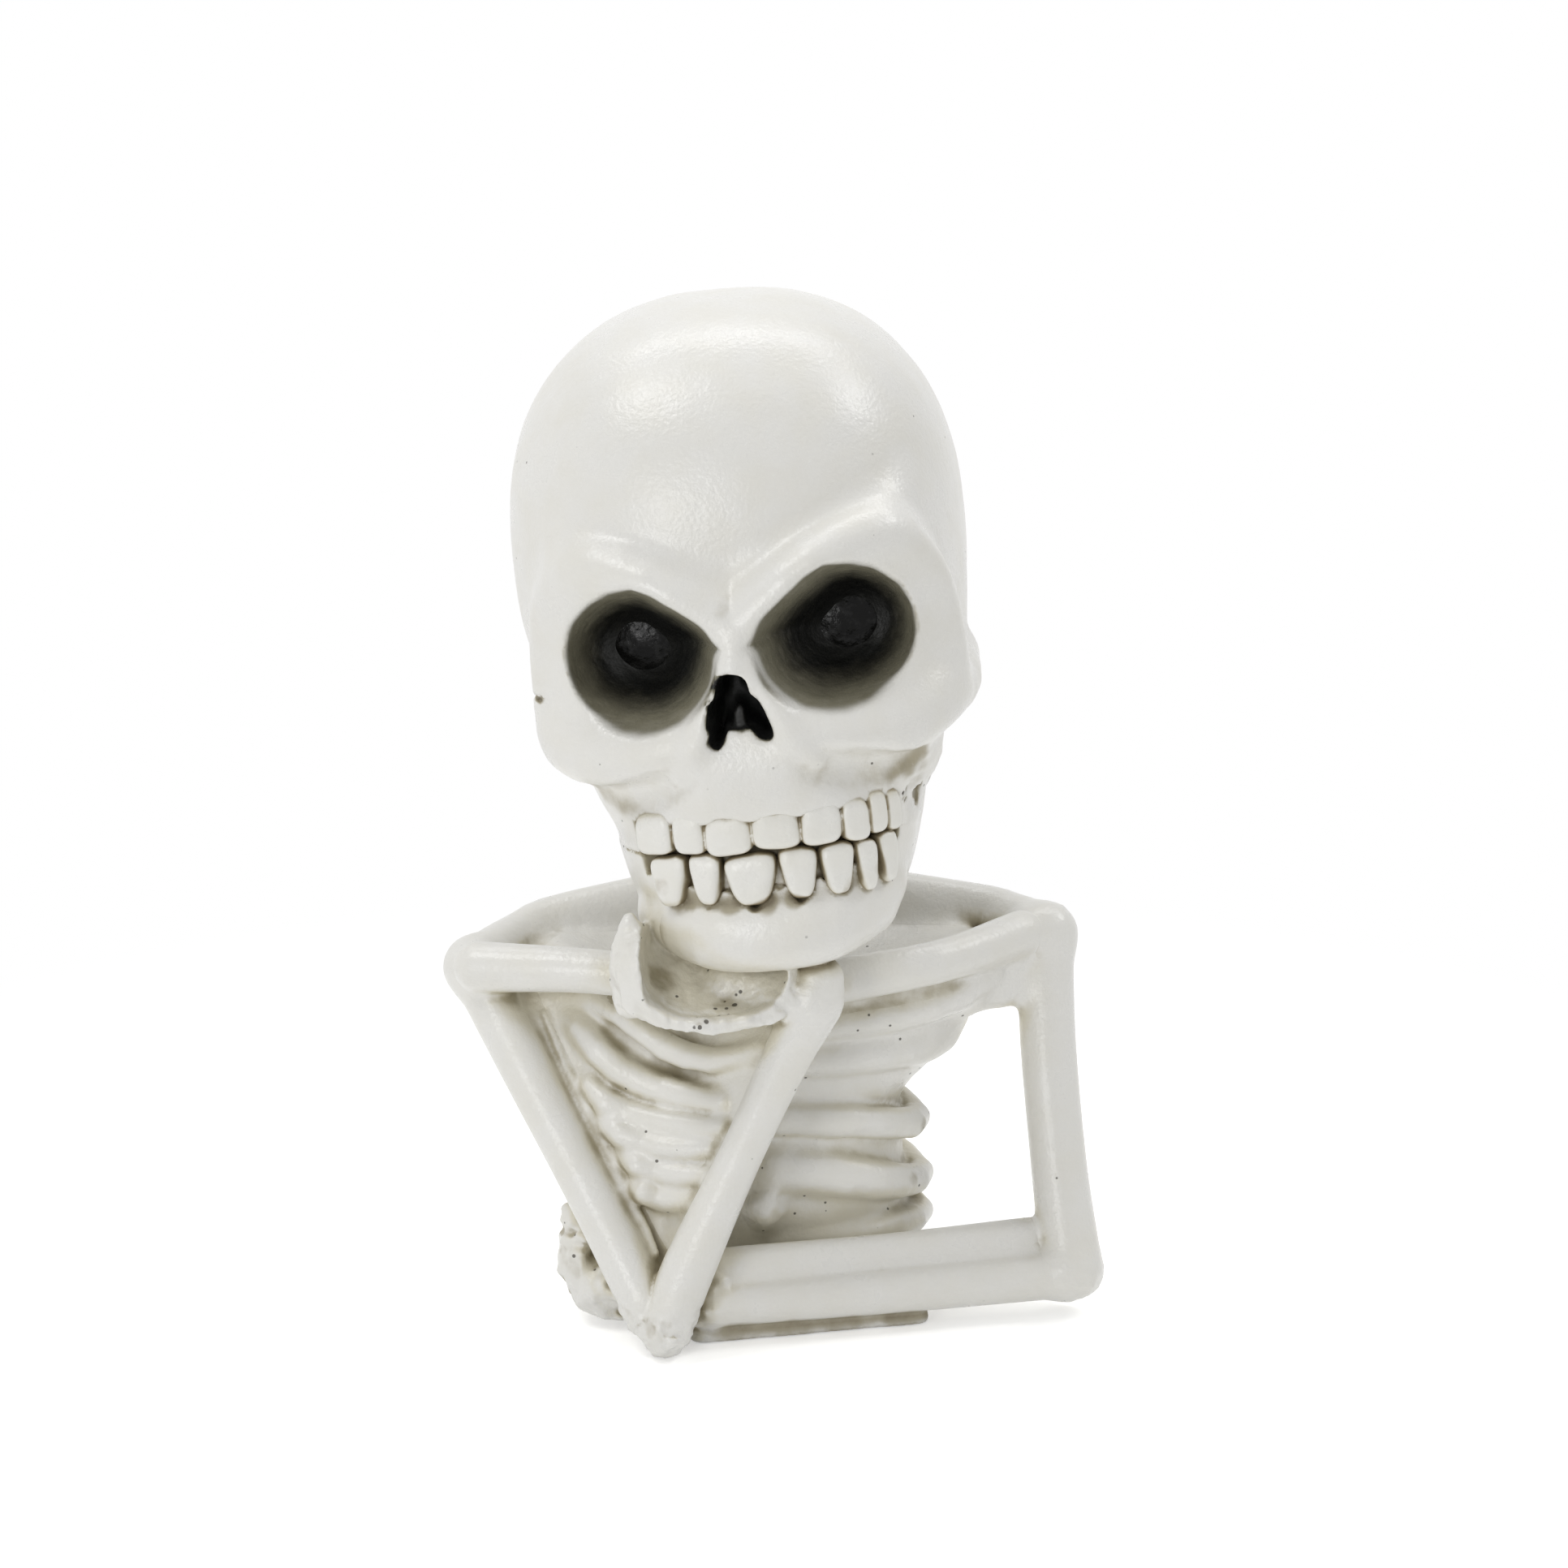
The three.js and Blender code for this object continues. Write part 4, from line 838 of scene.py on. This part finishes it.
def sample(distance, low, counts, grain, wide=4):
    """Distances on a fine grid, exact near the skin and only coarse away from it."""
    rough_counts = (counts - 1) // wide + 2
    rough_index = np.indices(rough_counts).reshape(3, -1).T
    rough = measure(distance, grid_points(low, grain * wide, rough_index)).reshape(rough_counts)
    nearest = [np.minimum((np.arange(n) + wide // 2) // wide, m - 1) for n, m in zip(counts, rough_counts)]
    fine = rough[np.ix_(*nearest)]
    close = np.argwhere(np.abs(fine) < 1.9 * wide * grain)
    fine[tuple(close.T)] = measure(distance, grid_points(low, grain, close))
    return fine


CORNERS = [np.array([i >> 2 & 1, i >> 1 & 1, i & 1]) for i in range(8)]
EDGES = [(a, b) for a in range(8) for b in range(a + 1, 8) if abs(CORNERS[a] - CORNERS[b]).sum() == 1]


def net(values):
    """Corner points, in cells, and square faces of the surface where the values are zero."""
    inside = values < 0
    cells = np.array(values.shape) - 1
    full = np.zeros(cells, np.uint8)
    for corner in CORNERS:
        x, y, z = (slice(c, c + n) for c, n in zip(corner, cells))
        full += inside[x, y, z]
    at = np.argwhere((full > 0) & (full < 8))
    number = np.full(cells, -1, np.int32)
    number[tuple(at.T)] = np.arange(len(at))
    depth = [values[tuple((at + corner).T)] for corner in CORNERS]
    total, count = np.zeros((len(at), 3)), np.zeros(len(at))
    for a, b in EDGES:
        crossed = (depth[a] < 0) != (depth[b] < 0)
        share = depth[a][crossed] / (depth[a][crossed] - depth[b][crossed])
        total[crossed] += CORNERS[a] + share[:, None] * (CORNERS[b] - CORNERS[a])
        count[crossed] += 1
    faces = []
    for axis in range(3):
        step = np.eye(3, dtype=int)
        u, w = step[(axis + 1) % 3], step[(axis + 2) % 3]
        head = np.take(inside, range(0, cells[axis]), axis)
        tail = np.take(inside, range(1, cells[axis] + 1), axis)
        edge = np.argwhere(head != tail)
        edge = edge[((edge - u - w >= 0) & (edge < cells)).all(1)]
        ring = [number[tuple((edge - s).T)] for s in (u + w, w, 0 * u, u)]
        quad = np.stack(ring, 1)
        inward = ~head[tuple(edge.T)]
        quad[inward] = quad[inward][:, ::-1]
        faces.append(quad)
    return at + total / count[:, None], np.vstack(faces)


def slope_at(distance, points, step=0.12):
    """Outward direction of the skin at each point, and the distance there."""
    slope = np.zeros((len(points), 3), np.float32)
    value = np.zeros(len(points), np.float32)
    for sign in ((1, -1, -1), (-1, -1, 1), (-1, 1, -1), (1, 1, 1)):
        reach = np.array(sign, np.float32)
        there = measure(distance, points + reach * step)
        slope += there[:, None] * reach
        value += there / 4
    size = np.sqrt((slope * slope).sum(1)) + 1e-9
    return slope / size[:, None], value, size / (4 * step)


def skin(distance, low, high, grain):
    """Corner points in millimetres and faces of a distance's skin."""
    low = np.asarray(low, float) - 3 * grain
    counts = np.ceil((np.asarray(high) - low) / grain).astype(int) + 4
    places, faces = net(sample(distance, low, counts, grain))
    places = grid_points(low, grain, places)
    for _ in range(2):
        outward, value, steep = slope_at(distance, places)
        slide = np.clip(value / np.maximum(steep, 0.3), -0.35 * grain, 0.35 * grain)
        places = places - slide[:, None] * outward
    return places, faces


test_places, test_faces = skin(lambda p: pebble(p, (0, 0, 0), (3, 3, 3)), (-3, -3, -3), (3, 3, 3), 0.5)
farthest = np.linalg.norm(test_places, axis=1).max().round(3)
print("a test ball has", len(test_places), "points and", len(test_faces), "faces, farthest", farthest)

# %% [markdown]
# ## Where the grime settles, and the painted shade
# The maker brushed on a thin brown wash and wiped it off, so it stays in creases, and
# sprayed black into the sockets and the nose. Some shade is painted in as well: the tan in
# wide hollows is part dust and part painted shade, and spots of wash colour paint shade on
# the skirt under the left forearm and, with the wash, under the cheekbones. All are worked
# out here for every corner point and stored on the mesh, so the paint follows the shape and
# not the camera.

# %% Paint masks
SKULL_PIECES = ("cranium", "lower_jaw", "upper_teeth", "lower_teeth")


def open_air(name):
    """Distance to everything near a piece, with the seams closed."""
    if name not in SKULL_PIECES:
        return casting(name, cut=False)
    return lambda points: np.min([reach_of(n, points) for n in (*SKULL_PIECES, "right_hand")], axis=0)


def closed_in(name, places, heights):
    """0 on open skin, 1 in a deep fold, from how near other skin is above each point."""
    air = open_air(name)
    outward = slope_at(air, places)[0]
    total = np.zeros(len(places), np.float32)
    for height in heights:
        clear = measure(air, places + outward * height)
        total += np.clip(1 - clear / height, 0, 1) / len(heights)
    return total


def on_figure(x, y, z):
    """A place on the skull, given in the skull's own frame."""
    return SKULL_TURN @ np.array([x, y, z], np.float32) + SKULL_AT


WASH_AND_SHADE_SPOTS = [
    # where the wash pooled, and where shade is painted: place, reach in mm, strength
    ((-15.5, -28, 56.0), 4.0, 0.55), ((-5.5, -31, 53.4), 3.4, 0.4), ((-9, -36, 51.6), 2.0, 0.4),
    ((25, -5, 25.6), 3.0, 0.5), ((23, -8.6, 18.6), 2.5, 0.4), ((-22, -15.6, 42.8), 4.0, 0.12),
    ((-14, -17.6, 39.4), 4.0, 0.15),
    ((-14.4, -30.9, 71.2), 2.8, 0.45), ((-10.4, -31.9, 69.7), 2.6, 0.5), ((-4.6, -33.8, 69.2), 2.6, 0.5),
    ((0.5, -34.4, 69.8), 2.6, 0.45), ((4.6, -34.6, 70.6), 2.6, 0.5), ((12.1, -33.2, 72.8), 2.8, 0.5),
    ((16, -31.2, 74.4), 2.8, 0.5),
    ((-15.5, -36, 4.5), 4.0, 0.3), ((-20, -33.6, 7), 3.0, 0.3), ((-26, -17, 9), 9.0, 0.3),
    ((47.5, -17.5, 7), 4.0, 0.2),
    # painted shade: the four spots in this line darken the skirt, which lies in shade under the left forearm
    *[((8 * step - 4, 2 * step - 27, 1), 6.0, 0.45) for step in range(4)],
    # the spots at on_figure(20.5, -20, -31) and on_figure(-19.5, -20, -33) are partly wash and partly
    # painted shade under the cheekbones' overhang
    (on_figure(-1.6, -35.4, -4.8), 2.6, 0.2), (on_figure(20.5, -20, -31), 8.0, 0.25),
    (on_figure(-19.5, -20, -33), 7.0, 0.2), (on_figure(0, -33, -49.5), 4.0, 0.15),
]
BUBBLED = [
    # where bubbles gathered: place, reach in mm, strength
    ((-5.2, -31, 53.4), 3.6, 3.4), ((-9, -36.2, 51.8), 2.4, 3.0), ((-15.5, -36, 4.5), 4.0, 1.2),
    ((-22.8, -16.8, 39.8), 4.0, 1.6),
    ((-14, -20, 36), 4.0, 1.0), ((-14, -23, 28.5), 4.0, 1.0), ((25, -5.2, 25.2), 2.5, 2.0),
    ((-26, -17, 9), 9.0, 0.5), (on_figure(20.5, -20, -31), 8.0, 0.5),
]


def spots(places, marks):
    """Soft round spots at known places, added up."""
    total = np.zeros(len(places), np.float32)
    for middle, reach, strength in marks:
        off = np.linalg.norm(places - np.asarray(middle, np.float32), axis=1)
        total += strength * ease(reach, 0.3 * reach, off)
    return total


WASHED = {"right_hand": 0.5, "rib_cage": 0.72}


def recess_of(name, places):
    """How far a place lies in a crease, and so how much wash stayed there, plus listed spots of wash and of
    painted shade.
    """
    folds = WASHED.get(name, 1.0) * closed_in(name, places, (0.7, 1.8, 4.0))
    if name == "cranium":
        folds *= 1 - 0.6 * ease(-6, 1, in_skull(places)[:, 2])
    return folds + spots(places, WASH_AND_SHADE_SPOTS)


def shelter_of(name, places):
    """How far a place lies in a wide hollow, where dust and shade gather."""
    return (0.6 if name == "cranium" else 1.0) * closed_in(name, places, (5.0, 9.0))


PITTED = {"rib_cage": 0.6, "right_hand": 0.9, "left_hand": 1.0, "lower_jaw": 0.3}


def pits_of(name, places):
    """Where air bubbles gathered: few on the forehead, many on the face's sides and the ribs."""
    gathered = PITTED.get(name, 0.15) + spots(places, BUBBLED)
    if name == "cranium":
        q = in_skull(places)
        gathered += 0.15 * ease(-12, -26, q[:, 2]) + 0.2 * ease(22, 30, np.abs(q[:, 0])) - 0.1
    return gathered


def soot_of(name, places):
    """Black spray: soft in the sockets, hard in the nose."""
    if name not in ("cranium", "right_eye_bead", "left_eye_bead"):
        return np.zeros(len(places), np.float32)
    if name != "cranium":
        return np.ones(len(places), np.float32)
    q = in_skull(places)
    depth = -measure(skull_mass, q)
    face = ease(-6, -10, q[:, 1])
    m = mirrored(q)
    inward = eye_depth(m)
    outline = teardrop(m) + 0.3 * inward
    eyes = (0.5 * ease(-0.2, 1.3, depth) + 0.5 * ease(1.0, 11.5, inward)) * ease(1.3, 0.2, outline)
    nose = ease(0.1, 0.8, depth) * ease(0.9, 0.3, nose_hole(q))
    return np.maximum(eyes, nose) * face


# %% [markdown]
# ## Shader arithmetic
# A shader is a graph of nodes, and long graphs are hard to read. This small class wraps
# one socket so that ordinary Python sums add the Math nodes, and one method adds any
# other node.

# %% A socket that can do sums
class Wire:
    """A node socket that Python operators can work on."""

    def __init__(self, tree, socket):
        self.tree, self.socket = tree, socket

    def node(self, kind, settings=None, values=None, out=0):
        """Adds a node: its settings first, then the values or links of its sockets."""
        made = self.tree.nodes.new(kind)
        for key, value in (settings or {}).items():
            setattr(made, key, value)
        for key, value in (values or {}).items():
            if isinstance(value, Wire):
                self.tree.links.new(value.socket, made.inputs[key])
            else:
                made.inputs[key].default_value = value
        return Wire(self.tree, made.outputs[out])

    def sum_with(self, operation, first, second):
        return self.node("ShaderNodeMath", {"operation": operation}, {0: first, 1: second})

    def __add__(self, other):
        return self.sum_with("ADD", self, other)

    def __sub__(self, other):
        return self.sum_with("SUBTRACT", self, other)

    def __mul__(self, other):
        return self.sum_with("MULTIPLY", self, other)

    def __rsub__(self, other):
        return self.sum_with("SUBTRACT", other, self)

    __radd__ = __add__
    __rmul__ = __mul__

    def between(self, low, high):
        """A smooth step of this value from 0 at low to 1 at high."""
        settings = {"interpolation_type": "SMOOTHSTEP"}
        return self.node("ShaderNodeMapRange", settings, {0: self, 1: low, 2: high, 3: 0.0, 4: 1.0})

    def tint(self, clean, stained):
        """Mixes two colours by this value."""
        return self.node("ShaderNodeMix", {"data_type": "RGBA"}, {0: self, 6: clean, 7: stained}, out=2)


def srgb(red, green, blue):
    """A colour as an eye or a camera names it, turned into light."""
    light = [(v / 255 / 12.92) if v < 11 else ((v / 255 + 0.055) / 1.055) ** 2.4 for v in (red, green, blue)]
    return (*light, 1.0)


def new_finish(name):
    """A material with its main shader, and a wire to start sums from."""
    finish = bpy.data.materials.new(name)
    finish.use_nodes = True
    shader = finish.node_tree.nodes["Principled BSDF"]
    return finish, shader, Wire(finish.node_tree, shader.outputs[0])


def plug(wire, shader, socket):
    wire.tree.links.new(wire.socket, shader.inputs[socket])


print("mid grey 128 is", round(srgb(128, 128, 128)[0], 3), "of white light")

# %% [markdown]
# ## The resin finish
# Off-white resin with a satin skin. Five things vary over it: a warm brown wash in the
# creases, whose colour also paints shade on a few listed spots, a pale tan in wide hollows
# that is part dust and part painted shade, black spray where the mask says so, pin holes
# left by air bubbles, and a faint mottle. The pin holes are cells of a Voronoi pattern, and
# a noise picks out the patches where bubbles gathered.

# %% Resin
def mask_from(start, name):
    """A number that the mesh carries at each corner point."""
    return start.node("ShaderNodeAttribute", {"attribute_name": name}, out="Fac")


def noise(start, place, scale, detail):
    return start.node("ShaderNodeTexNoise", None, {"Vector": place, "Scale": scale, "Detail": detail})


def make_resin(name, clean, wash_shade_colour, wash_shade_reach):
    finish, shader, start = new_finish(name)
    place = start.node("ShaderNodeTexCoord", out="Object")
    recess = mask_from(start, "recess")
    soot = mask_from(start, "soot")
    shelter = mask_from(start, "shelter")
    mottle = noise(start, place, 140.0, 5.0)
    smear = noise(start, place, 420.0, 4.0)
    fine = noise(start, place, 1500.0, 3.0)
    patch = noise(start, place, 75.0, 2.0)
    pitted = mask_from(start, "pitted")

    bubbles = start.node("ShaderNodeTexVoronoi", None, {"Vector": place, "Scale": 640.0}, out="Distance")
    lucky = start.node("ShaderNodeTexVoronoi", None, {"Vector": place, "Scale": 640.0}, out="Color")
    chance = lucky.node("ShaderNodeSeparateColor", None, {"Color": lucky}, out="Red")
    size = 0.1 * chance + 0.05 * pitted
    gathered = (chance + 0.3 * pitted * patch.between(0.35, 0.65)).between(0.99, 1.02)
    hole = (bubbles - size).between(0.05, -0.02) * gathered

    patchy = 0.4 * (mottle - 0.5) + 0.4 * (smear - 0.5)
    # The wash colour marks the real wash in creases, and also paints shade on the listed spots on the skirt
    # under the left forearm and under the cheekbones; the darkest brown below follows the same mask.
    wash_and_shade = (recess + patchy * recess.between(0.1, 0.3)).between(*wash_shade_reach)
    warmer = (clean[0] * 0.95, clean[1] * 0.935, clean[2] * 0.88, 1.0)
    colour = (mottle.between(0.3, 0.75) * 0.5).tint(clean, warmer)
    # Wide hollows get a darker tan that is part dust and part painted shade.
    dust_and_shade = (shelter + patchy * shelter.between(0.15, 0.4)).between(0.14, 0.85)
    colour = (dust_and_shade * 0.6).tint(colour, srgb(208, 201, 176))
    colour = (wash_and_shade * 0.8).tint(colour, wash_shade_colour)
    deep = (recess + 0.4 * (smear - 0.5) * recess.between(0.2, 0.5)).between(0.66, 1.0)
    colour = (deep * 0.55).tint(colour, srgb(92, 78, 52))
    colour = (hole * 0.85).tint(colour, srgb(52, 46, 34))
    black = soot + 0.2 * (smear - 0.5) * soot.between(0.02, 0.5)
    colour = black.between(0.0, 0.55).tint(colour, srgb(132, 128, 110))
    colour = black.between(0.45, 1.0).tint(colour, srgb(9, 10, 7))
    plug(colour, shader, "Base Color")
    plug(0.22 + 0.14 * mottle + 0.3 * wash_and_shade + 0.2 * hole + 0.2 * soot, shader, "Roughness")

    height = 0.9 * fine + 0.7 * smear + 0.4 * mottle - 1.6 * hole
    bump = start.node("ShaderNodeBump", None, {"Strength": 0.28, "Distance": 0.0004, "Height": height})
    plug(bump, shader, "Normal")
    shader.inputs["IOR"].default_value = 1.5
    shader.inputs["Specular IOR Level"].default_value = 0.5
    return finish


resin = make_resin("cast_resin", srgb(228, 227, 223), srgb(150, 140, 112), (0.24, 0.72))
enamel = make_resin("tooth_resin", srgb(231, 230, 225), srgb(142, 126, 90), (0.3, 0.8))

# %% [markdown]
# ## Black paint and steel
# The bottoms of the sockets are glossy black with a grainy skin, so the lamps leave a
# faint broken sheen. The dowels and the neck rod are hidden steel pins, which stay as
# the solids of the frame and get a brushed finish.

# %% Black and steel
def make_black():
    finish, shader, start = new_finish("socket_black")
    place = start.node("ShaderNodeTexCoord", out="Object")
    grain = noise(start, place, 900.0, 4.0)
    plug(grain.tint(srgb(4, 4, 3), srgb(9, 9, 7)), shader, "Base Color")
    plug(0.13 + 0.12 * grain, shader, "Roughness")
    plug(grain.between(0.5, 0.64) * 0.14, shader, "Coat Weight")
    shader.inputs["Coat Roughness"].default_value = 0.08
    shader.inputs["Specular IOR Level"].default_value = 0.15
    bump = start.node("ShaderNodeBump", None, {"Strength": 0.35, "Distance": 0.0005, "Height": grain})
    plug(bump, shader, "Normal")
    return finish


def make_steel():
    finish, shader, start = new_finish("dowel_steel")
    place = start.node("ShaderNodeTexCoord", out="Object")
    brushed = noise(start, place, 1800.0, 2.0)
    plug(brushed.tint(srgb(150, 152, 154), srgb(184, 186, 188)), shader, "Base Color")
    plug(0.28 + 0.2 * brushed, shader, "Roughness")
    shader.inputs["Metallic"].default_value = 1.0
    return finish


socket_black, dowel_steel = make_black(), make_steel()
print("finishes:", [finish.name for finish in (resin, enamel, socket_black, dowel_steel)])

# %% [markdown]
# ## Make the pieces
# Each casting is skinned in the box of the solid that it stands for, a few millimetres
# wider all round, then painted and hung on the frame. The teeth and the right hand have
# fine detail, so they get a finer grain, and the skull and ribs a coarser one.

# %% Skin, paint and hang
COARSE = 1.0
GRAIN = {"cranium": 0.56, "rib_cage": 0.5, "upper_teeth": 0.28, "lower_teeth": 0.28, "right_hand": 0.34}
MASKS = {"recess": recess_of, "shelter": shelter_of, "soot": soot_of, "pitted": pits_of}
FINISH = {
    "upper_teeth": (enamel, "tooth_white"), "lower_teeth": (enamel, "tooth_white"),
    "right_eye_bead": (socket_black, "eye_black"), "left_eye_bead": (socket_black, "eye_black"),
}


def make_piece(node):
    low, high = BOXES[node]
    grain = COARSE * GRAIN.get(node, 0.42)
    distance = casting(node)
    places, faces = skin(distance, low - BOX_MARGIN, high + BOX_MARGIN, grain)
    mesh = bpy.data.meshes.new(node + "_casting")
    mesh.vertices.add(len(places))
    mesh.vertices.foreach_set("co", (places * 0.001).astype(np.float32).ravel())
    mesh.loops.add(faces.size)
    mesh.loops.foreach_set("vertex_index", faces.astype(np.int32).ravel())
    mesh.polygons.add(len(faces))
    mesh.polygons.foreach_set("loop_start", np.arange(0, faces.size, 4, dtype=np.int32))
    mesh.polygons.foreach_set("use_smooth", np.ones(len(faces), bool))
    for mask, mask_of in MASKS.items():
        values = mask_of(node, places)
        mesh.attributes.new(mask, "FLOAT", "POINT").data.foreach_set("value", values.astype(np.float32))
    mesh.update(calc_edges=True)
    mesh.validate()
    finish, slot = FINISH.get(node, (resin, "resin_white"))
    mesh.materials.append(finish)
    piece = bpy.data.objects.new(node + "_casting", mesh)
    bpy.context.scene.collection.objects.link(piece)
    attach(piece, "root")
    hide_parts(node)
    print(f"{node}: {len(faces)} faces, {time.time() - started:.1f} s so far")
    return piece


castings = {node: make_piece(node) for node in CLAY}
print("castings made:", len(castings))

for node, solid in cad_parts.items():
    if node.endswith("_dowel") or node == "neck_rod":
        solid.data.materials.clear()
        solid.data.materials.append(dowel_steel)

# %% [markdown]
# ## Camera
# The photograph was taken from a little above, straight at the front, with a long lens.

# %% Camera
SIGHT = Vector((0.003, -0.003, 0.0787))
ELEVATION = math.radians(16)
FAR_OFF = 0.8
back = Vector((0, -math.cos(ELEVATION), math.sin(ELEVATION)))
camera = bpy.data.objects.new("camera", bpy.data.cameras.new("camera"))
camera.location = SIGHT + back * FAR_OFF
camera.rotation_mode = "QUATERNION"
camera.rotation_quaternion = (-back).to_track_quat("-Z", "Y")
camera.data.sensor_width = 36.0
camera.data.lens = 123.73
camera.data.clip_start, camera.data.clip_end = 0.01, 50
bpy.context.scene.collection.objects.link(camera)
bpy.context.scene.camera = camera
print("camera at", [round(v, 3) for v in camera.location])

# %% [markdown]
# ## Floor and light
# A product photograph on white: a pale floor that keeps a soft contact shadow, an even
# white surround, a long strip lamp above the back, a box lamp on each side and a window
# low in front. The floor is lifted to white only for rays that come from the camera.

# %% Floor
def seen_directly(start):
    """1 for rays from the camera, from mirrors and through glass, 0 for light on things."""
    ray = start.node("ShaderNodeLightPath", out="Is Camera Ray")
    shine = Wire(start.tree, ray.socket.node.outputs["Is Glossy Ray"])
    through_glass = Wire(start.tree, ray.socket.node.outputs["Is Transmission Ray"])
    return ray + shine + through_glass


def make_floor_finish():
    finish, shader, start = new_finish("studio_floor")
    place = start.node("ShaderNodeTexCoord", out="Object")
    speck = noise(start, place, 40.0, 2.0)
    plug(speck.tint(srgb(250, 250, 249), srgb(254, 254, 253)), shader, "Base Color")
    shader.inputs["Roughness"].default_value = 0.9
    shader.inputs["Specular IOR Level"].default_value = 0.0
    distance = start.node("ShaderNodeVectorMath", {"operation": "LENGTH"}, {0: place}, out="Value")
    white = start.node("ShaderNodeEmission", None, {"Color": (1, 1, 1, 1), "Strength": 1.0})
    lift = start.node("ShaderNodeEmission", None, {"Color": (1, 1, 1, 1), "Strength": 0.4})
    lifted = start.node("ShaderNodeAddShader", None, {0: start, 1: lift})
    far = start.node("ShaderNodeMixShader", None, {0: distance.between(0.09, 0.2), 1: lifted, 2: white})
    mixed = start.node("ShaderNodeMixShader", None, {0: seen_directly(start), 1: start, 2: far})
    finish.node_tree.links.new(mixed.socket, finish.node_tree.nodes["Material Output"].inputs["Surface"])
    return finish


floor_mesh = bpy.data.meshes.new("studio_floor")
REACH = 6.0
corners = [(-REACH, -REACH, 0), (REACH, -REACH, 0), (REACH, REACH, 0), (-REACH, REACH, 0)]
floor_mesh.from_pydata(corners, [], [(0, 1, 2, 3)])
floor = bpy.data.objects.new("studio_floor", floor_mesh)
floor.location.z = -0.0002
floor_mesh.materials.append(make_floor_finish())
bpy.context.scene.collection.objects.link(floor)

# %% Lamps and surround
def soft_lamp(name, place, size, watts):
    lamp = bpy.data.objects.new(name, bpy.data.lights.new(name, "AREA"))
    lamp.data.shape = "RECTANGLE"
    lamp.data.size, lamp.data.size_y = size
    lamp.data.energy = watts
    lamp.location = place
    aim = Vector((0, 0, 0.08)) - lamp.location
    lamp.rotation_euler = aim.to_track_quat("-Z", "Y").to_euler()
    bpy.context.scene.collection.objects.link(lamp)


soft_lamp("back_strip", Vector((0.02, 0.5, 1.05)), (1.3, 0.2), 3.9)
soft_lamp("left_box", Vector((-0.52, -0.16, 1.02)), (0.36, 0.3), 2.7)
soft_lamp("right_box", Vector((0.75, 0.12, 0.85)), (0.36, 0.3), 2.1)
soft_lamp("front_window", Vector((-0.5, -0.98, 0.32)), (0.3, 0.4), 2.4)

world = bpy.data.worlds.new("white_surround")
world.use_nodes = True
bpy.context.scene.world = world
ambient = world.node_tree.nodes["Background"]
ambient.inputs["Color"].default_value = (1.0, 1.0, 1.0, 1.0)
ambient.inputs["Strength"].default_value = 0.45
sky = Wire(world.node_tree, ambient.outputs[0])
seen = sky.node("ShaderNodeBackground", None, {"Color": (1.0, 1.0, 1.0, 1.0), "Strength": 1.0})
pick = sky.node("ShaderNodeMixShader", None, {0: seen_directly(sky), 1: sky, 2: seen})
world.node_tree.links.new(pick.socket, world.node_tree.nodes["World Output"].inputs["Surface"])
bpy.context.scene.view_settings.view_transform = "Standard"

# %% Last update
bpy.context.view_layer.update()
print(f"sculpted in {time.time() - started:.1f} s")
